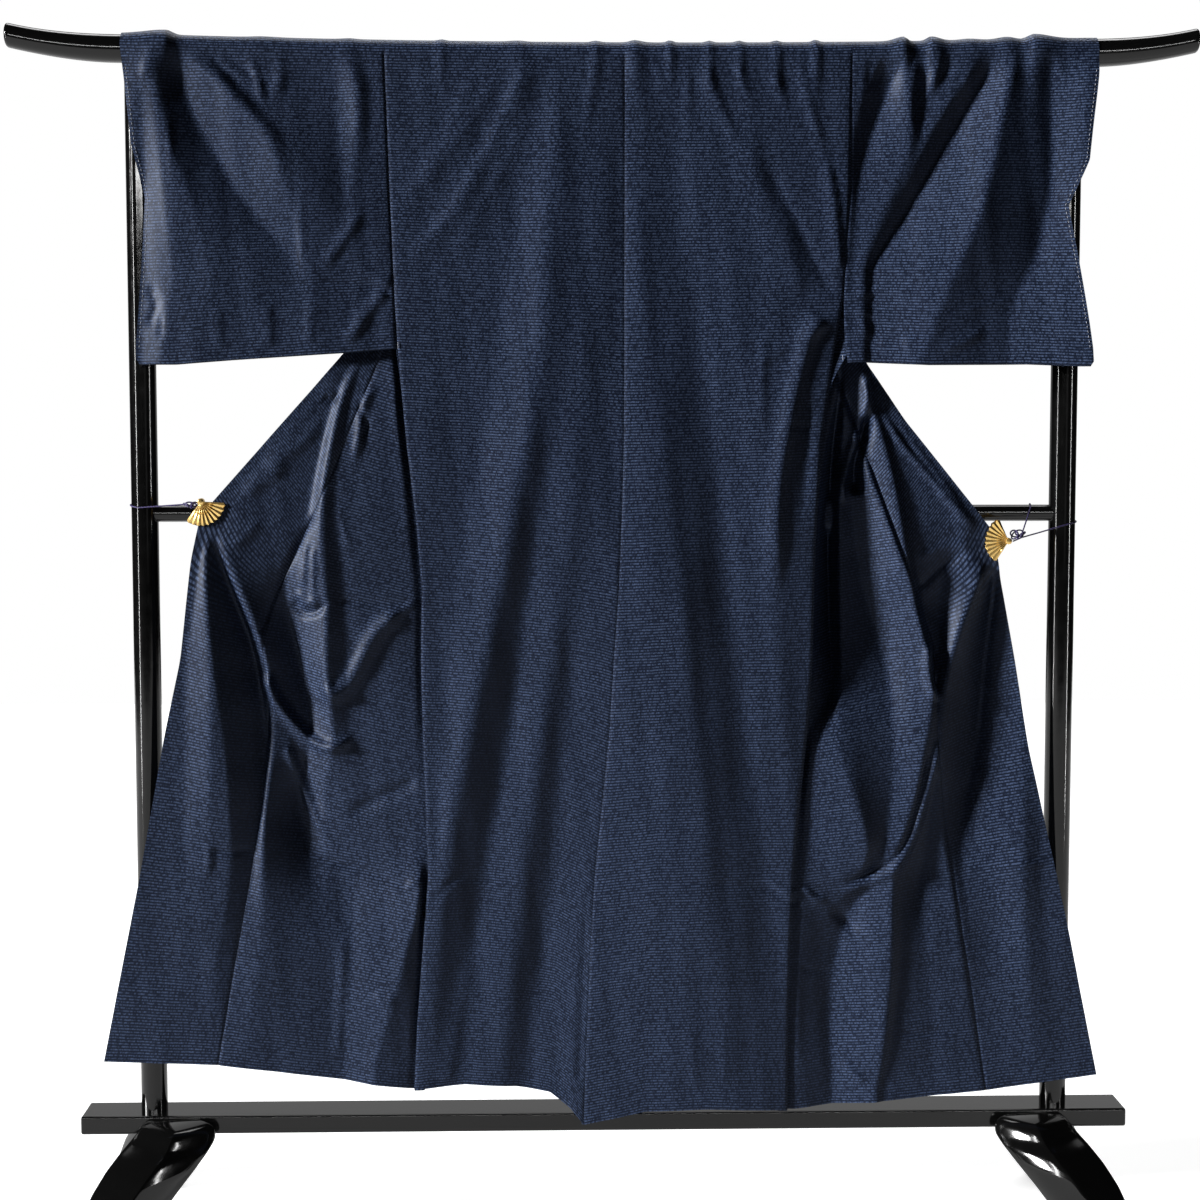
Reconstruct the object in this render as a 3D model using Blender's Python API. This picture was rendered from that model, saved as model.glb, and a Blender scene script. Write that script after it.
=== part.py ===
"""A man's kimono hung back outwards over the rod of a lacquered stand, its fronts opened to the sides.

Metres, +Z up. The back of the garment faces -Y. The floor is z = 0 and the stand is centred on x = 0.
"""

import math

import bmesh
import bpy
import numpy as np

# Cloth: wall, gap left at seams, and the grid of the panels
WALL = 0.0012
SEAM_GAP = 0.0004
ARC_STEPS = 4
ROWS_TO_POINT = 5
ROWS_TO_CLIP = 10
ROWS_TO_HEM = 12
BACK_COLUMNS = 11
OKUMI_COLUMNS = 5
SLEEVE_COLUMNS = 12
COLLAR_STEPS = (0.0, 0.35, 0.68, 1.0)
COLLAR_LEAN = 0.62
COLLAR_LEAN_OVER = 0.16
COLLAR_NECK = 0.05
COLLAR_OFF = 0.0009
NECK_STEPS = 6
COLLAR_WIDTH = 0.058
COLLAR_BEHIND = 0.0035
COLLAR_REACH = ((0.0, 0.0), (0.014, 0.0), (-0.014, 0.0), (0.0, 0.014), (0.0, -0.014))

# Rod: a round bar that rises towards its upturned tips
ROD_RADIUS = 0.019
ROD_Z = 1.629
ROD_HALF = 0.818
ROD_BEND = 0.66
ROD_RISE = 0.009
ROD_TIP_RISE = 0.018
RISE_FROM = 1.2
RISE_EASE = 0.4
ROD_SIDES = 16
ROD_CLEAR = 0.0004
CLOTH_ON_ROD = (ROD_RADIUS + ROD_CLEAR + WALL / 2) / math.cos(math.pi / 4 / ARC_STEPS)

# Stand
POST_X = 0.640
POST_RADIUS = 0.0185
CROSSBAR_Z = 1.0035
CROSSBAR_RADIUS = 0.0115
RAIL_HALF = 0.738
RAIL_DEPTH = 0.068
RAIL_TOP = 0.159
RAIL_THICK = 0.026
TOUCH = 0.0003

# Legs. Columns: drop from the rail, way out along x and along y, half diagonal of the square section
FOOT_ROWS = (
    (0.000, 0.000, 0.000, 0.050),
    (0.012, 0.024, 0.022, 0.054),
    (0.030, 0.048, 0.045, 0.055),
    (0.056, 0.068, 0.066, 0.053),
    (0.090, 0.085, 0.086, 0.048),
    (0.120, 0.097, 0.102, 0.044),
    (0.1327, 0.102, 0.108, 0.043),
)
FOOT_X = 0.590
FOOT_Y = 0.052
FOOT_EDGE = 0.16

# How the layers hang: depth of the back layer, spacing of the layers behind it
LEAN = 0.038
LEAN_TOP = 1.60
LEAN_HEIGHT = 0.62
LAYER_LOW = 0.0036
LAYER_HIGH = 0.0085
LAYER_FROM = 0.25
LAYER_EASE = 0.8
NARROW_Z = 1.30
NARROW_HEIGHT = 0.30
LOOSE_HEIGHT = 0.15

# Seams of the back, seen from behind the wearer: x at falling heights
LEVELS = (1.66, 1.45, 1.30, 1.22, 1.10, 1.00, 0.90, 0.80, 0.70, 0.60, 0.50, 0.40, 0.30, 0.20, 0.10)
SIDE_LEFT = (-0.304, -0.297, -0.290, -0.285, -0.274, -0.262, -0.254, -0.256, -0.254, -0.251,
             -0.248, -0.256, -0.264, -0.269, -0.272)
CENTRE = (0.025, 0.025, 0.024, 0.024, 0.023, 0.020, 0.016, 0.009, 0.003, -0.007,
          -0.017, -0.023, -0.027, -0.031, -0.034)
SIDE_RIGHT = (0.337, 0.335, 0.325, 0.311, 0.294, 0.288, 0.285, 0.283, 0.277, 0.267,
              0.259, 0.255, 0.253, 0.253, 0.253)
HEM_SIDE = {-1: 0.200, 1: 0.167}
HEM_CENTRE = 0.150

# Share of the width from the side seam to the centre, and how far the hem rises there
HEM_LIFT = {
    -1: ((0.0, 0.0), (0.3, 0.022), (0.6, 0.034), (0.8, 0.036), (0.92, 0.020), (1.0, 0.0)),
    1: ((0.0, 0.0), (0.4, 0.012), (0.7, 0.014), (1.0, 0.0)),
}

# Inner edge of each front, from the neck to the hem: x, z. The second point is the okumi's tip
FRONT_EDGE = {
    -1: ((-0.068, 1.629), (-0.213, 1.427), (-0.310, 1.220), (-0.397, 1.013), (-0.452, 0.905),
         (-0.476, 0.832), (-0.467, 0.745), (-0.477, 0.610), (-0.494, 0.512), (-0.514, 0.400),
         (-0.542, 0.237)),
    1: ((0.118, 1.629), (0.241, 1.412), (0.325, 1.180), (0.405, 0.960), (0.434, 0.885),
        (0.460, 0.809), (0.457, 0.719), (0.470, 0.601), (0.490, 0.461), (0.509, 0.350), (0.534, 0.193)),
}

# Okumi's outer edge: from its tip to the clip, then down to the hem
SLANT = {
    -1: ((-0.213, 1.427), (-0.361, 1.223), (-0.557, 1.002)),
    1: ((0.241, 1.412), (0.358, 1.212), (0.411, 1.133), (0.534, 0.980)),
}
FREE_EDGE = {
    -1: ((-0.557, 1.002), (-0.571, 0.942), (-0.587, 0.805), (-0.611, 0.694), (-0.646, 0.506),
         (-0.700, 0.243)),
    1: ((0.534, 0.980), (0.553, 0.885), (0.569, 0.801), (0.589, 0.675), (0.613, 0.568), (0.648, 0.413),
        (0.690, 0.214)),
}

# Cloth of the front that runs back behind the side seam before it is folded out: height, width of the tuck
TUCK = {
    -1: ((1.63, 0.248), (1.58, 0.232), (1.485, 0.195), (1.39, 0.164), (1.22, 0.140), (1.00, 0.062),
         (0.80, 0.050), (0.50, 0.024), (0.15, 0.012)),
    1: ((1.63, 0.231), (1.58, 0.218), (1.482, 0.188), (1.382, 0.162), (1.22, 0.150), (1.00, 0.080),
        (0.80, 0.060), (0.50, 0.024), (0.15, 0.012)),
}
TUCK_SEWN = 0.022
TUCK_SEWN_Z = 1.30
TUCK_SEWN_EASE = 0.07
TUCK_IN = (0.0, 0.10, 0.30, 0.62, 0.92)
TUCK_TURN = (-0.25, 0.0, 0.25)
TUCK_OUT = (0.0, 0.10, 0.20, 0.30, 0.42, 0.54, 0.66, 0.78, 0.88, 0.95, 1.0)

# Soft folds. Columns: from x, from z, to x, to z, sideways bow, half width, depth towards the viewer
BACK_FOLDS = (
    (0.045, 1.66, 0.047, 0.95, 0.000, 0.014, 0.010),
    (0.070, 1.60, 0.190, 0.10, -0.030, 0.024, -0.013),
    (0.040, 1.05, 0.050, 0.10, 0.000, 0.055, 0.009),
    (0.130, 1.60, 0.240, 0.60, 0.010, 0.030, 0.009),
    (0.190, 1.00, 0.215, 0.10, 0.000, 0.026, -0.009),
    (-0.060, 1.62, -0.150, 0.85, 0.010, 0.028, 0.011),
    (-0.120, 1.30, -0.235, 0.15, 0.015, 0.026, -0.015),
    (-0.100, 1.15, -0.190, 0.10, 0.010, 0.018, 0.014),
    (-0.060, 1.05, -0.125, 0.10, 0.005, 0.016, -0.017),
    (-0.010, 1.00, -0.075, 0.10, 0.005, 0.018, 0.017),
    (-0.090, 1.62, -0.290, 1.33, -0.010, 0.018, 0.006),
    (0.120, 1.62, 0.322, 1.30, 0.010, 0.016, 0.006),
    (-0.600, 1.66, -0.390, 1.30, -0.030, 0.026, 0.010),
    (-0.560, 1.66, -0.350, 1.42, -0.020, 0.022, -0.009),
    (-0.430, 1.66, -0.320, 1.38, -0.010, 0.020, 0.006),
    (0.430, 1.66, 0.350, 1.34, 0.010, 0.016, 0.011),
    (0.400, 1.60, 0.345, 1.40, 0.005, 0.012, -0.008),
    (0.550, 1.66, 0.370, 1.32, 0.015, 0.026, 0.012),
    (0.510, 1.66, 0.360, 1.42, 0.010, 0.016, -0.009),
    (0.615, 1.66, 0.450, 1.28, 0.020, 0.022, -0.010),
    (0.640, 1.60, 0.560, 1.20, 0.010, 0.024, 0.009),
)
FRONT_FOLDS = (
    (-0.535, 0.965, -0.360, 0.670, -0.035, 0.016, 0.020),
    (-0.500, 0.960, -0.330, 0.740, -0.030, 0.018, -0.010),
    (-0.470, 0.760, -0.290, 0.500, -0.045, 0.018, 0.013),
    (-0.440, 0.760, -0.280, 0.560, -0.030, 0.020, -0.009),
    (-0.545, 0.920, -0.505, 0.480, -0.010, 0.020, -0.014),
    (-0.575, 0.900, -0.600, 0.300, 0.000, 0.030, 0.010),
    (-0.400, 0.900, -0.350, 0.600, 0.010, 0.020, 0.010),
    (-0.420, 0.500, -0.430, 0.100, 0.000, 0.030, 0.008),
    (0.315, 1.200, 0.300, 0.740, 0.010, 0.020, -0.018),
    (0.365, 1.160, 0.350, 1.000, 0.015, 0.012, 0.016),
    (0.545, 0.930, 0.460, 0.760, 0.030, 0.014, 0.014),
    (0.520, 0.930, 0.478, 0.600, 0.005, 0.020, -0.016),
    (0.470, 0.760, 0.310, 0.480, 0.060, 0.020, 0.016),
    (0.430, 0.780, 0.310, 0.560, 0.040, 0.022, -0.010),
    (0.585, 0.850, 0.600, 0.300, 0.000, 0.030, 0.010),
    (0.400, 0.480, 0.410, 0.100, 0.000, 0.030, 0.008),
)
FOLD_TOP = 1.60
FOLD_EASE = 0.22
FRONT_FOLDS_FROM = 0.004
FRONT_FOLDS_EASE = 0.03

# The front's cloth rolls over the okumi above the clips: height, depth of the roll
ROLL = ((1.30, 0.0), (1.18, 0.012), (1.05, 0.017), (0.93, 0.016), (0.86, 0.0))
ROLL_PEAK = 0.024
ROLL_EASE = 0.02

# Little gathers that lift the cloth off the rod: x, half width, height
GATHERS = (
    (-0.600, 0.018, 0.0065),
    (0.408, 0.009, 0.0060),
    (0.447, 0.013, 0.0055),
    (0.555, 0.020, 0.0030),
    (0.588, 0.014, 0.0060),
)

# Sleeves, seam side first: inner edge and outer edge as x at falling heights, the bottom as x, z
SLEEVE_IN = {
    -1: ((1.66, -0.304), (1.45, -0.297), (1.30, -0.290), (1.22, -0.287)),
    1: ((1.66, 0.337), (1.45, 0.335), (1.30, 0.325), (1.25, 0.326), (1.20, 0.331)),
}
SLEEVE_OUT = {
    -1: ((1.66, -0.663), (1.50, -0.647), (1.43, -0.629), (1.36, -0.633), (1.24, -0.641), (1.222, -0.637),
         (1.208, -0.618)),
    1: ((1.66, 0.678), (1.60, 0.674), (1.48, 0.659), (1.42, 0.631), (1.36, 0.641), (1.23, 0.660),
        (1.215, 0.657), (1.205, 0.645)),
}
SLEEVE_BOTTOM = {
    -1: ((-0.64, 1.208), (-0.61, 1.208), (-0.53, 1.214), (-0.36, 1.225), (-0.28, 1.232)),
    1: ((0.32, 1.211), (0.36, 1.212), (0.45, 1.208), (0.59, 1.209), (0.66, 1.206)),
}
CUFF_Z = 1.43
CUFF_INSIDE_POST = 0.616
SEWN_Z = 1.31
SEWN_GAP = WALL + 0.0006
SEWN_UP = 0.06
SEWN_EASE = 0.03
CUFF_FROM = 0.86
CUFF_EASE = 0.12
CUFF_CLOSES = 0.045
INNER_SEWN = 0.10
SLEEVE_TURN = 0.012
SLEEVE_LEVELS = (1.629, 1.60, 1.55, 1.51, 1.475, 1.445, 1.42, 1.385, 1.345, 1.31, 1.28, 1.25)

# Clips: hinge point, direction in which the fan opens, in degrees
CLIP_HINGE = {-1: (-0.5690, 1.0180), 1: (0.5570, 0.9655)}
CLIP_TURN = {-1: -52.0, 1: 182.0}
CLIP_SPREAD = 84.0
CLIP_RADIUS = 0.036
CLIP_RIBS = 6
CLIP_PLATE = 0.0014
CLIP_BARREL = 0.0045
CLIP_FLAT = 0.070
CLIP_EASE = 0.05
CLIP_PROUD = 0.001
CORD_RADIUS = 0.0010
CORD_STEP = 0.0055
CORD_PITCH = 0.0012
CORD_RISE = 0.009
CORD_MEETS = 0.27
CORD_TURN = 3.3
CORD_TURN_STEPS = 13
CORD_ON_POST = {-1: 1.0125, 1: 0.9885}
CORD_KNOT = (0.012, 0.002, 0.005)
CORD_BAR_X = 0.5935
CORD_ON_BAR = 143.0


def smooth(t):
    """0 below 0, 1 above 1, and an S curve between."""
    t = np.clip(t, 0.0, 1.0)
    return t * t * (3.0 - 2.0 * t)


def along(rows, value):
    """The second column of a table at a value of its first, which may rise or fall."""
    rows = sorted(rows)
    return np.interp(value, [row[0] for row in rows], [row[1] for row in rows])


def path_at(points, share):
    """Points at shares of a polyline's length, its corners a little rounded."""
    points = np.array(points, float)
    steps = np.linalg.norm(np.diff(points, axis=0), axis=1)
    length = np.concatenate([[0.0], np.cumsum(steps)])
    dense = np.linspace(0.0, 1.0, 201)
    line = np.stack([np.interp(dense * length[-1], length, points[:, i]) for i in (0, 1)], axis=1)
    for _ in range(14):
        line[1:-1] = (line[:-2] + 2.0 * line[1:-1] + line[2:]) / 4.0
    return np.stack([np.interp(share, dense, line[:, i]) for i in (0, 1)], axis=-1)


def path_length(points):
    return float(np.linalg.norm(np.diff(np.array(points, float), axis=0), axis=1).sum())


def rod_z(x):
    """Height of the rod's centre line."""
    reach = np.abs(x)
    tip = smooth((reach - ROD_BEND) / (ROD_HALF - ROD_BEND))
    return ROD_Z + ROD_RISE * np.minimum(reach / ROD_BEND, 1.0) ** 2 + ROD_TIP_RISE * tip


def on_rod(x):
    """Distance of the cloth from the rod's centre line, with the gathers."""
    x = np.asarray(x, float)
    lift = sum(height * np.exp(-(((x - at) / width) ** 2)) for at, width, height in GATHERS)
    return CLOTH_ON_ROD + lift


def folds(x, z, rows):
    """Depth of soft folds: a bell across each fold's curved line, faded at its ends."""
    depth = np.zeros(np.broadcast(x, z).shape)
    for x0, z0, x1, z1, bow, width, height in rows:
        run_x, run_z = x1 - x0, z1 - z0
        length = math.hypot(run_x, run_z)
        t = ((x - x0) * run_x + (z - z0) * run_z) / length**2
        across = ((z - z0) * run_x - (x - x0) * run_z) / length - bow * 4.0 * t * (1.0 - t)
        ends = smooth((t + 0.04) / 0.22) * smooth((1.04 - t) / 0.22)
        depth += height * ends * np.exp(-((across / width) ** 2))
    return depth


def layer(z):
    """Spacing between two layers of cloth that hang one behind the other."""
    return LAYER_LOW + (LAYER_HIGH - LAYER_LOW) * smooth((z - LAYER_FROM) / LAYER_EASE)


def rod_gap(z):
    """Distance from the layer before the rod to the one behind it."""
    near = layer(z)
    return near + (2.0 * CLOTH_ON_ROD - near) * smooth((z - NARROW_Z) / NARROW_HEIGHT)


def back_y(x, z):
    """Depth of the layer on the camera side."""
    hang = smooth((FOLD_TOP - z) / FOLD_EASE)
    lean = LEAN * smooth((LEAN_TOP - z) / LEAN_HEIGHT)
    return -CLOTH_ON_ROD - lean - hang * folds(x, z, BACK_FOLDS)


def far_y(x, z):
    """Depth of the layer behind the back. High up it hangs from the far side of the rod, unfolded."""
    hang = smooth((FOLD_TOP - z) / FOLD_EASE)
    loose = smooth((z - NARROW_Z) / LOOSE_HEIGHT)
    return back_y(x, z) + hang * loose * folds(x, z, BACK_FOLDS) + rod_gap(z)


def clip_point(side):
    return np.array(SLANT[side][-1])


def spread_y(x, z, side):
    """Depth of the opened fronts, two layers behind the back, and flat where a clip bites."""
    beyond = smooth((np.abs(x) - np.abs(side_x(z, side)) - FRONT_FOLDS_FROM) / FRONT_FOLDS_EASE)
    behind = far_y(x, z) + layer(z)
    shaped = behind - beyond * folds(x, z, FRONT_FOLDS)
    clip = clip_point(side)
    flat = back_y(clip[0], clip[1]) + 2.0 * layer(clip[1])
    held = 1.0 - smooth((np.hypot(x - clip[0], z - clip[1]) - CLIP_FLAT) / CLIP_EASE)
    return shaped + (flat - shaped) * held


def side_x(z, side):
    table = SIDE_LEFT if side < 0 else SIDE_RIGHT
    return along(tuple(zip(LEVELS, table)), z)


def row_shares(side):
    """Shares of the front's inner edge at which the rows of the body lie."""
    total = path_length(FRONT_EDGE[side])
    to_point = path_length(FRONT_EDGE[side][:2])
    seam = total - to_point
    to_clip = path_length(SLANT[side])
    to_hem = path_length(FREE_EDGE[side])
    clip = to_point + seam * to_clip / (to_clip + to_hem)
    return np.concatenate([
        np.linspace(0.0, to_point, ROWS_TO_POINT + 1)[:-1],
        np.linspace(to_point, clip, ROWS_TO_CLIP + 1)[:-1],
        np.linspace(clip, total, ROWS_TO_HEM + 1),
    ]) / total


def over_rod(x, angle, away):
    """Points on the cloth where it turns over the rod; away is -1 before the rod and 1 behind it."""
    reach = on_rod(x)
    y = away * CLOTH_ON_ROD * np.sin(angle) * np.ones_like(x)
    return np.stack([x, y, rod_z(x) + reach * np.cos(angle)], axis=-1)


def arc_angles():
    """Angles from the top of the rod towards its side, which they stop short of."""
    return np.linspace(0.0, math.pi / 2, ARC_STEPS + 1)[:-1]


def back_panel(side):
    """Back half: columns from the side seam to the centre seam, rows from the rod to the hem."""
    u = np.linspace(0.0, 1.0, BACK_COLUMNS + 1)
    lift = along(HEM_LIFT[side], u)
    rows = []
    for share in row_shares(side):
        z_side = ROD_Z - (ROD_Z - HEM_SIDE[side]) * share
        z_centre = ROD_Z - (ROD_Z - HEM_CENTRE) * share
        x_side = side_x(z_side, side)
        x_centre = along(tuple(zip(LEVELS, CENTRE)), z_centre)
        inset = SEAM_GAP / 2 / abs(x_centre - x_side)
        w = inset + u * (1.0 - 2.0 * inset)
        x = x_side + (x_centre - x_side) * w
        z = z_side + (z_centre - z_side) * w + lift * share**3 + rod_z(x) - ROD_Z
        rows.append(np.stack([x, back_y(x, z), z], axis=-1))
    x_top = rows[0][:, 0]
    behind = [over_rod(x_top, angle, 1) for angle in (math.pi / 2, *arc_angles()[:0:-1])]
    before = [over_rod(x_top, angle, -1) for angle in arc_angles()]
    behind[0][:, 2] += SEAM_GAP / 2
    return np.array(behind + before + rows)


def tuck_section(side, z_side, x_side, edge):
    """One row of a front: behind the back towards the centre, round a turn, and out to its inner edge."""
    turn = np.array(TUCK_TURN) * math.pi
    out = np.array(TUCK_OUT)
    start = x_side - side * SEAM_GAP / 2
    end = edge[0] - side * SEAM_GAP / 2
    radius = layer(z_side) / 2
    middle = start - side * (along(TUCK[side], z_side) - radius)
    x_in = start + (middle - start) * np.array(TUCK_IN)
    x = np.concatenate([x_in, middle - side * radius * np.cos(turn), middle + (end - middle) * out])
    before_out = np.zeros(len(x_in) + len(turn))
    is_out = np.concatenate([before_out, np.ones(len(out))])
    z = z_side + (edge[1] - z_side) * np.concatenate([before_out, out])
    depth = np.concatenate([np.zeros(len(x_in)), 0.5 + 0.5 * np.sin(turn), np.ones(len(out))])
    y = far_y(x, z) + layer(z) * depth
    closed = smooth((TUCK_SEWN_Z - z_side) / TUCK_SEWN_EASE)
    seam = (1.0 - smooth(np.abs(x - start) / TUCK_SEWN)) * (1.0 - is_out) * closed
    y += (back_y(x, z) + WALL + SEAM_GAP - y) * seam
    y += (spread_y(x, z, side) - y) * is_out
    inside = np.abs(end - x) / ROLL_PEAK
    roll = along(ROLL, edge[1]) * (inside * np.exp(1.0 - inside)) ** 2
    reach = smooth((np.abs(x) - abs(x_side)) / ROLL_EASE)
    return np.stack([x, y - roll * is_out * reach, z], axis=-1)


def front_panel(side):
    """Front half: columns from the side seam to the neck, collar and okumi seam."""
    shares = row_shares(side)
    edges = path_at(FRONT_EDGE[side], shares)
    rows = []
    for share, edge in zip(shares, edges):
        z_side = ROD_Z - (ROD_Z - HEM_SIDE[side]) * share
        rows.append(tuck_section(side, z_side, side_x(z_side, side), edge))
    for row in rows:
        row[:, 2] = raised(row[:, 0], row[:, 2])
    rows[0][:, 2] -= SEAM_GAP / 2
    return np.array(rows)


def okumi_edges(side):
    """Seam points and outer points of the okumi's rows, from its tip to the hem."""
    seam = path_at(FRONT_EDGE[side], row_shares(side)[ROWS_TO_POINT:])
    slant = path_at(SLANT[side], np.linspace(0.0, 1.0, ROWS_TO_CLIP + 1))
    free = path_at(FREE_EDGE[side], np.linspace(0.0, 1.0, ROWS_TO_HEM + 1))
    return seam, np.concatenate([slant, free[1:]])


def raised(x, z):
    """Follows the rise of the rod near the top of the garment."""
    return z + (rod_z(x) - ROD_Z) * smooth((z - RISE_FROM) / RISE_EASE)


def okumi_panel(side):
    """Okumi: columns from its seam to its outer edge."""
    seam, outer = okumi_edges(side)
    u = np.linspace(0.0, 1.0, OKUMI_COLUMNS + 1)
    rows = []
    for inner, edge in zip(seam[1:], outer[1:]):
        inner = inner + np.array([side * SEAM_GAP / 2, 0.0])
        point = inner + (edge - inner) * u[:, None]
        x, z = point[:, 0], point[:, 1]
        rows.append(np.stack([x, spread_y(x, z, side), raised(x, z)], axis=-1))
    return np.array(rows)


def sleeve_gap(u, z, bottom):
    """Hollow of the sleeve: the rod's width at the top, sewn shut at the bottom and at both lower edges."""
    low = SEWN_GAP + (rod_gap(z) - SEWN_GAP) * smooth((z - bottom) / SEWN_UP)
    cuff = smooth((u - CUFF_FROM) / CUFF_EASE) * smooth((CUFF_Z + CUFF_CLOSES - z) / SEWN_EASE)
    inner = smooth((INNER_SEWN - u) / INNER_SEWN) * smooth((SEWN_Z - z) / SEWN_EASE)
    shut = np.clip(cuff + inner, 0.0, 1.0)
    return low + (SEWN_GAP - low) * shut


def sleeve_tube(side):
    """Sleeve: one loop round the rod for each column, from the body seam to the cuff.

    Behind the rod the cuff's edge runs down inside the post, and before it the cuff covers the post.
    """
    columns = []
    for u in np.linspace(0.0, 1.0, SLEEVE_COLUMNS + 1):
        x_mid = SLEEVE_IN[side][0][1] * (1.0 - u) + SLEEVE_OUT[side][0][1] * u
        bottom = float(along(SLEEVE_BOTTOM[side], x_mid))
        z = np.array([*SLEEVE_LEVELS, bottom + SLEEVE_TURN, bottom])
        inner = along(SLEEVE_IN[side], z) + side * SEAM_GAP / 2
        outer = along(SLEEVE_OUT[side], z)
        past_post = side * np.minimum(np.abs(outer), CUFF_INSIDE_POST)
        inboard = smooth((z - CUFF_Z) / SEWN_EASE + 0.5)
        outer_behind = outer + (past_post - outer) * inboard
        x = inner + (outer - inner) * u
        x_behind = inner + (outer_behind - inner) * u
        before = np.stack([x, back_y(x, z), raised(x, z)], axis=-1)
        gap = sleeve_gap(u, z, bottom)
        behind = np.stack([x_behind, back_y(x_behind, z) + gap, raised(x_behind, z)], axis=-1)
        behind[0, 1] = CLOTH_ON_ROD
        angles = arc_angles()
        arc_before = [over_rod(x[:1], angle, -1)[0] for angle in angles]
        slant = x[0] + (x_behind[0] - x[0]) * np.sin(angles)
        arc_behind = [over_rod(slant[i : i + 1], angles[i], 1)[0] for i in range(1, len(angles))]
        columns.append(np.array(arc_before + list(before) + list(behind[::-1]) + arc_behind[::-1]))
    return np.array(columns)


def collar_edge():
    """Points of the fronts' edge that carry the collar, from one clip over the neck to the other."""
    left, right = (
        np.concatenate([front_panel(side)[:ROWS_TO_POINT, -1], okumi_panel(side)[:ROWS_TO_CLIP, -1]])
        for side in (-1, 1)
    )
    neck = [left[0] + (right[0] - left[0]) * t for t in np.linspace(0.0, 1.0, NECK_STEPS + 1)[1:-1]]
    return np.concatenate([left[::-1], neck, right])


def collar_band():
    """Collar: a folded strip that hangs from the edge on the far side of the cloth."""
    edge = collar_edge()
    centre = (edge[ROWS_TO_POINT + ROWS_TO_CLIP - 1, 0] + edge[-ROWS_TO_POINT - ROWS_TO_CLIP, 0]) / 2
    rows = []
    for x, y, z in edge:
        side = 1 if x > centre else -1
        lean = COLLAR_LEAN * smooth((ROD_Z - z) / COLLAR_LEAN_OVER)
        down = np.array([-side * lean, -math.sqrt(1.0 - lean**2)])
        w = np.array(COLLAR_STEPS)
        px = x + down[0] * COLLAR_WIDTH * w
        pz = z + down[1] * COLLAR_WIDTH * w
        start = y + WALL + COLLAR_OFF
        near = [spread_y(px + dx, np.minimum(pz + dz, LEAN_TOP), side) for dx, dz in COLLAR_REACH]
        free = np.max(near, axis=0) + COLLAR_BEHIND
        hang = smooth(w / COLLAR_STEPS[1]) * smooth((ROD_Z - pz) / COLLAR_NECK)
        rows.append(np.stack([px, start + (free - start) * hang, pz], axis=-1))
    return np.array(rows)


def surface_normals(grid, closed):
    """Unit normals of a grid. At an edge that has a neighbour they don't lean across the seam."""
    if closed:
        loop = np.concatenate([grid[:, -1:], grid, grid[:, :1]], axis=1)
        across = loop[:, 2:] - loop[:, :-2]
    else:
        across = np.gradient(grid, axis=1)
    down = np.gradient(grid, axis=0)
    normal = np.cross(down, across)
    if closed:
        normal[0, :, 0] = normal[-1, :, 0] = 0.0
    else:
        for column in (0, -1):
            side = np.cross(down[:, column], (0.0, 1.0, 0.0)) + np.array([1e-9, 0.0, 0.0])
            side /= np.linalg.norm(side, axis=-1, keepdims=True)
            lean = (normal[:, column] * side).sum(axis=-1, keepdims=True)
            normal[:, column] -= side * lean
    return normal / np.linalg.norm(normal, axis=-1, keepdims=True)


def material(name, color, roughness, metallic):
    made = bpy.data.materials.new(name)
    made.use_nodes = True
    shader = made.node_tree.nodes["Principled BSDF"]
    shader.inputs["Base Color"].default_value = (*color, 1.0)
    shader.inputs["Roughness"].default_value = roughness
    shader.inputs["Metallic"].default_value = metallic
    made.diffuse_color = (*color, 1.0)
    return made


def add_object(name, points, faces, finish):
    mesh = bpy.data.meshes.new(name)
    mesh.from_pydata([tuple(p) for p in points], [], faces)
    mesh.validate()
    work = bmesh.new()
    work.from_mesh(mesh)
    bmesh.ops.recalc_face_normals(work, faces=work.faces)
    work.to_mesh(mesh)
    work.free()
    mesh.shade_smooth()
    mesh.set_sharp_from_angle(angle=math.radians(35))
    mesh.materials.append(finish)
    obj = bpy.data.objects.new(name, mesh)
    bpy.context.scene.collection.objects.link(obj)
    return obj


def cloth_wall(name, grid, finish, closed=False, thickness=WALL):
    """Closed wall of even thickness about a grid of points on its middle surface."""
    rows, columns = grid.shape[:2]
    offset = surface_normals(grid, closed) * thickness / 2
    points = np.concatenate([(grid + offset).reshape(-1, 3), (grid - offset).reshape(-1, 3)])
    last = columns if closed else columns - 1
    under = rows * columns
    faces = []
    for i in range(rows - 1):
        for j in range(last):
            k = (j + 1) % columns
            a, b, c, d = i * columns + j, i * columns + k, (i + 1) * columns + k, (i + 1) * columns + j
            pair = ((a, b, c), (a, c, d))
            if np.linalg.norm(grid[i, j] - grid[i + 1, k]) > np.linalg.norm(grid[i, k] - grid[i + 1, j]):
                pair = ((a, b, d), (b, c, d))
            for p, q, r in pair:
                faces.append((p, q, r))
                faces.append((under + r, under + q, under + p))
    rims = []
    for i in (0, rows - 1):
        rims += [(i * columns + j, i * columns + (j + 1) % columns) for j in range(last)]
    if not closed:
        for j in (0, columns - 1):
            rims += [(i * columns + j, (i + 1) * columns + j) for i in range(rows - 1)]
    faces += [(a, b, under + b, under + a) for a, b in rims]
    return add_object(name, points, faces, finish)


def stacked_rings(name, rings, finish):
    """Closed solid through rings of equal length, with flat ends."""
    count = len(rings[0])
    points = np.concatenate(rings)
    faces = [tuple(range(count)), tuple(range(len(points) - count, len(points)))]
    for i in range(len(rings) - 1):
        for j in range(count):
            k = (j + 1) % count
            faces.append((i * count + j, i * count + k, (i + 1) * count + k, (i + 1) * count + j))
    return add_object(name, points, faces, finish)


def circle(radius, sides):
    angle = np.arange(sides) * 2.0 * math.pi / sides
    return radius * np.cos(angle), radius * np.sin(angle)


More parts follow.
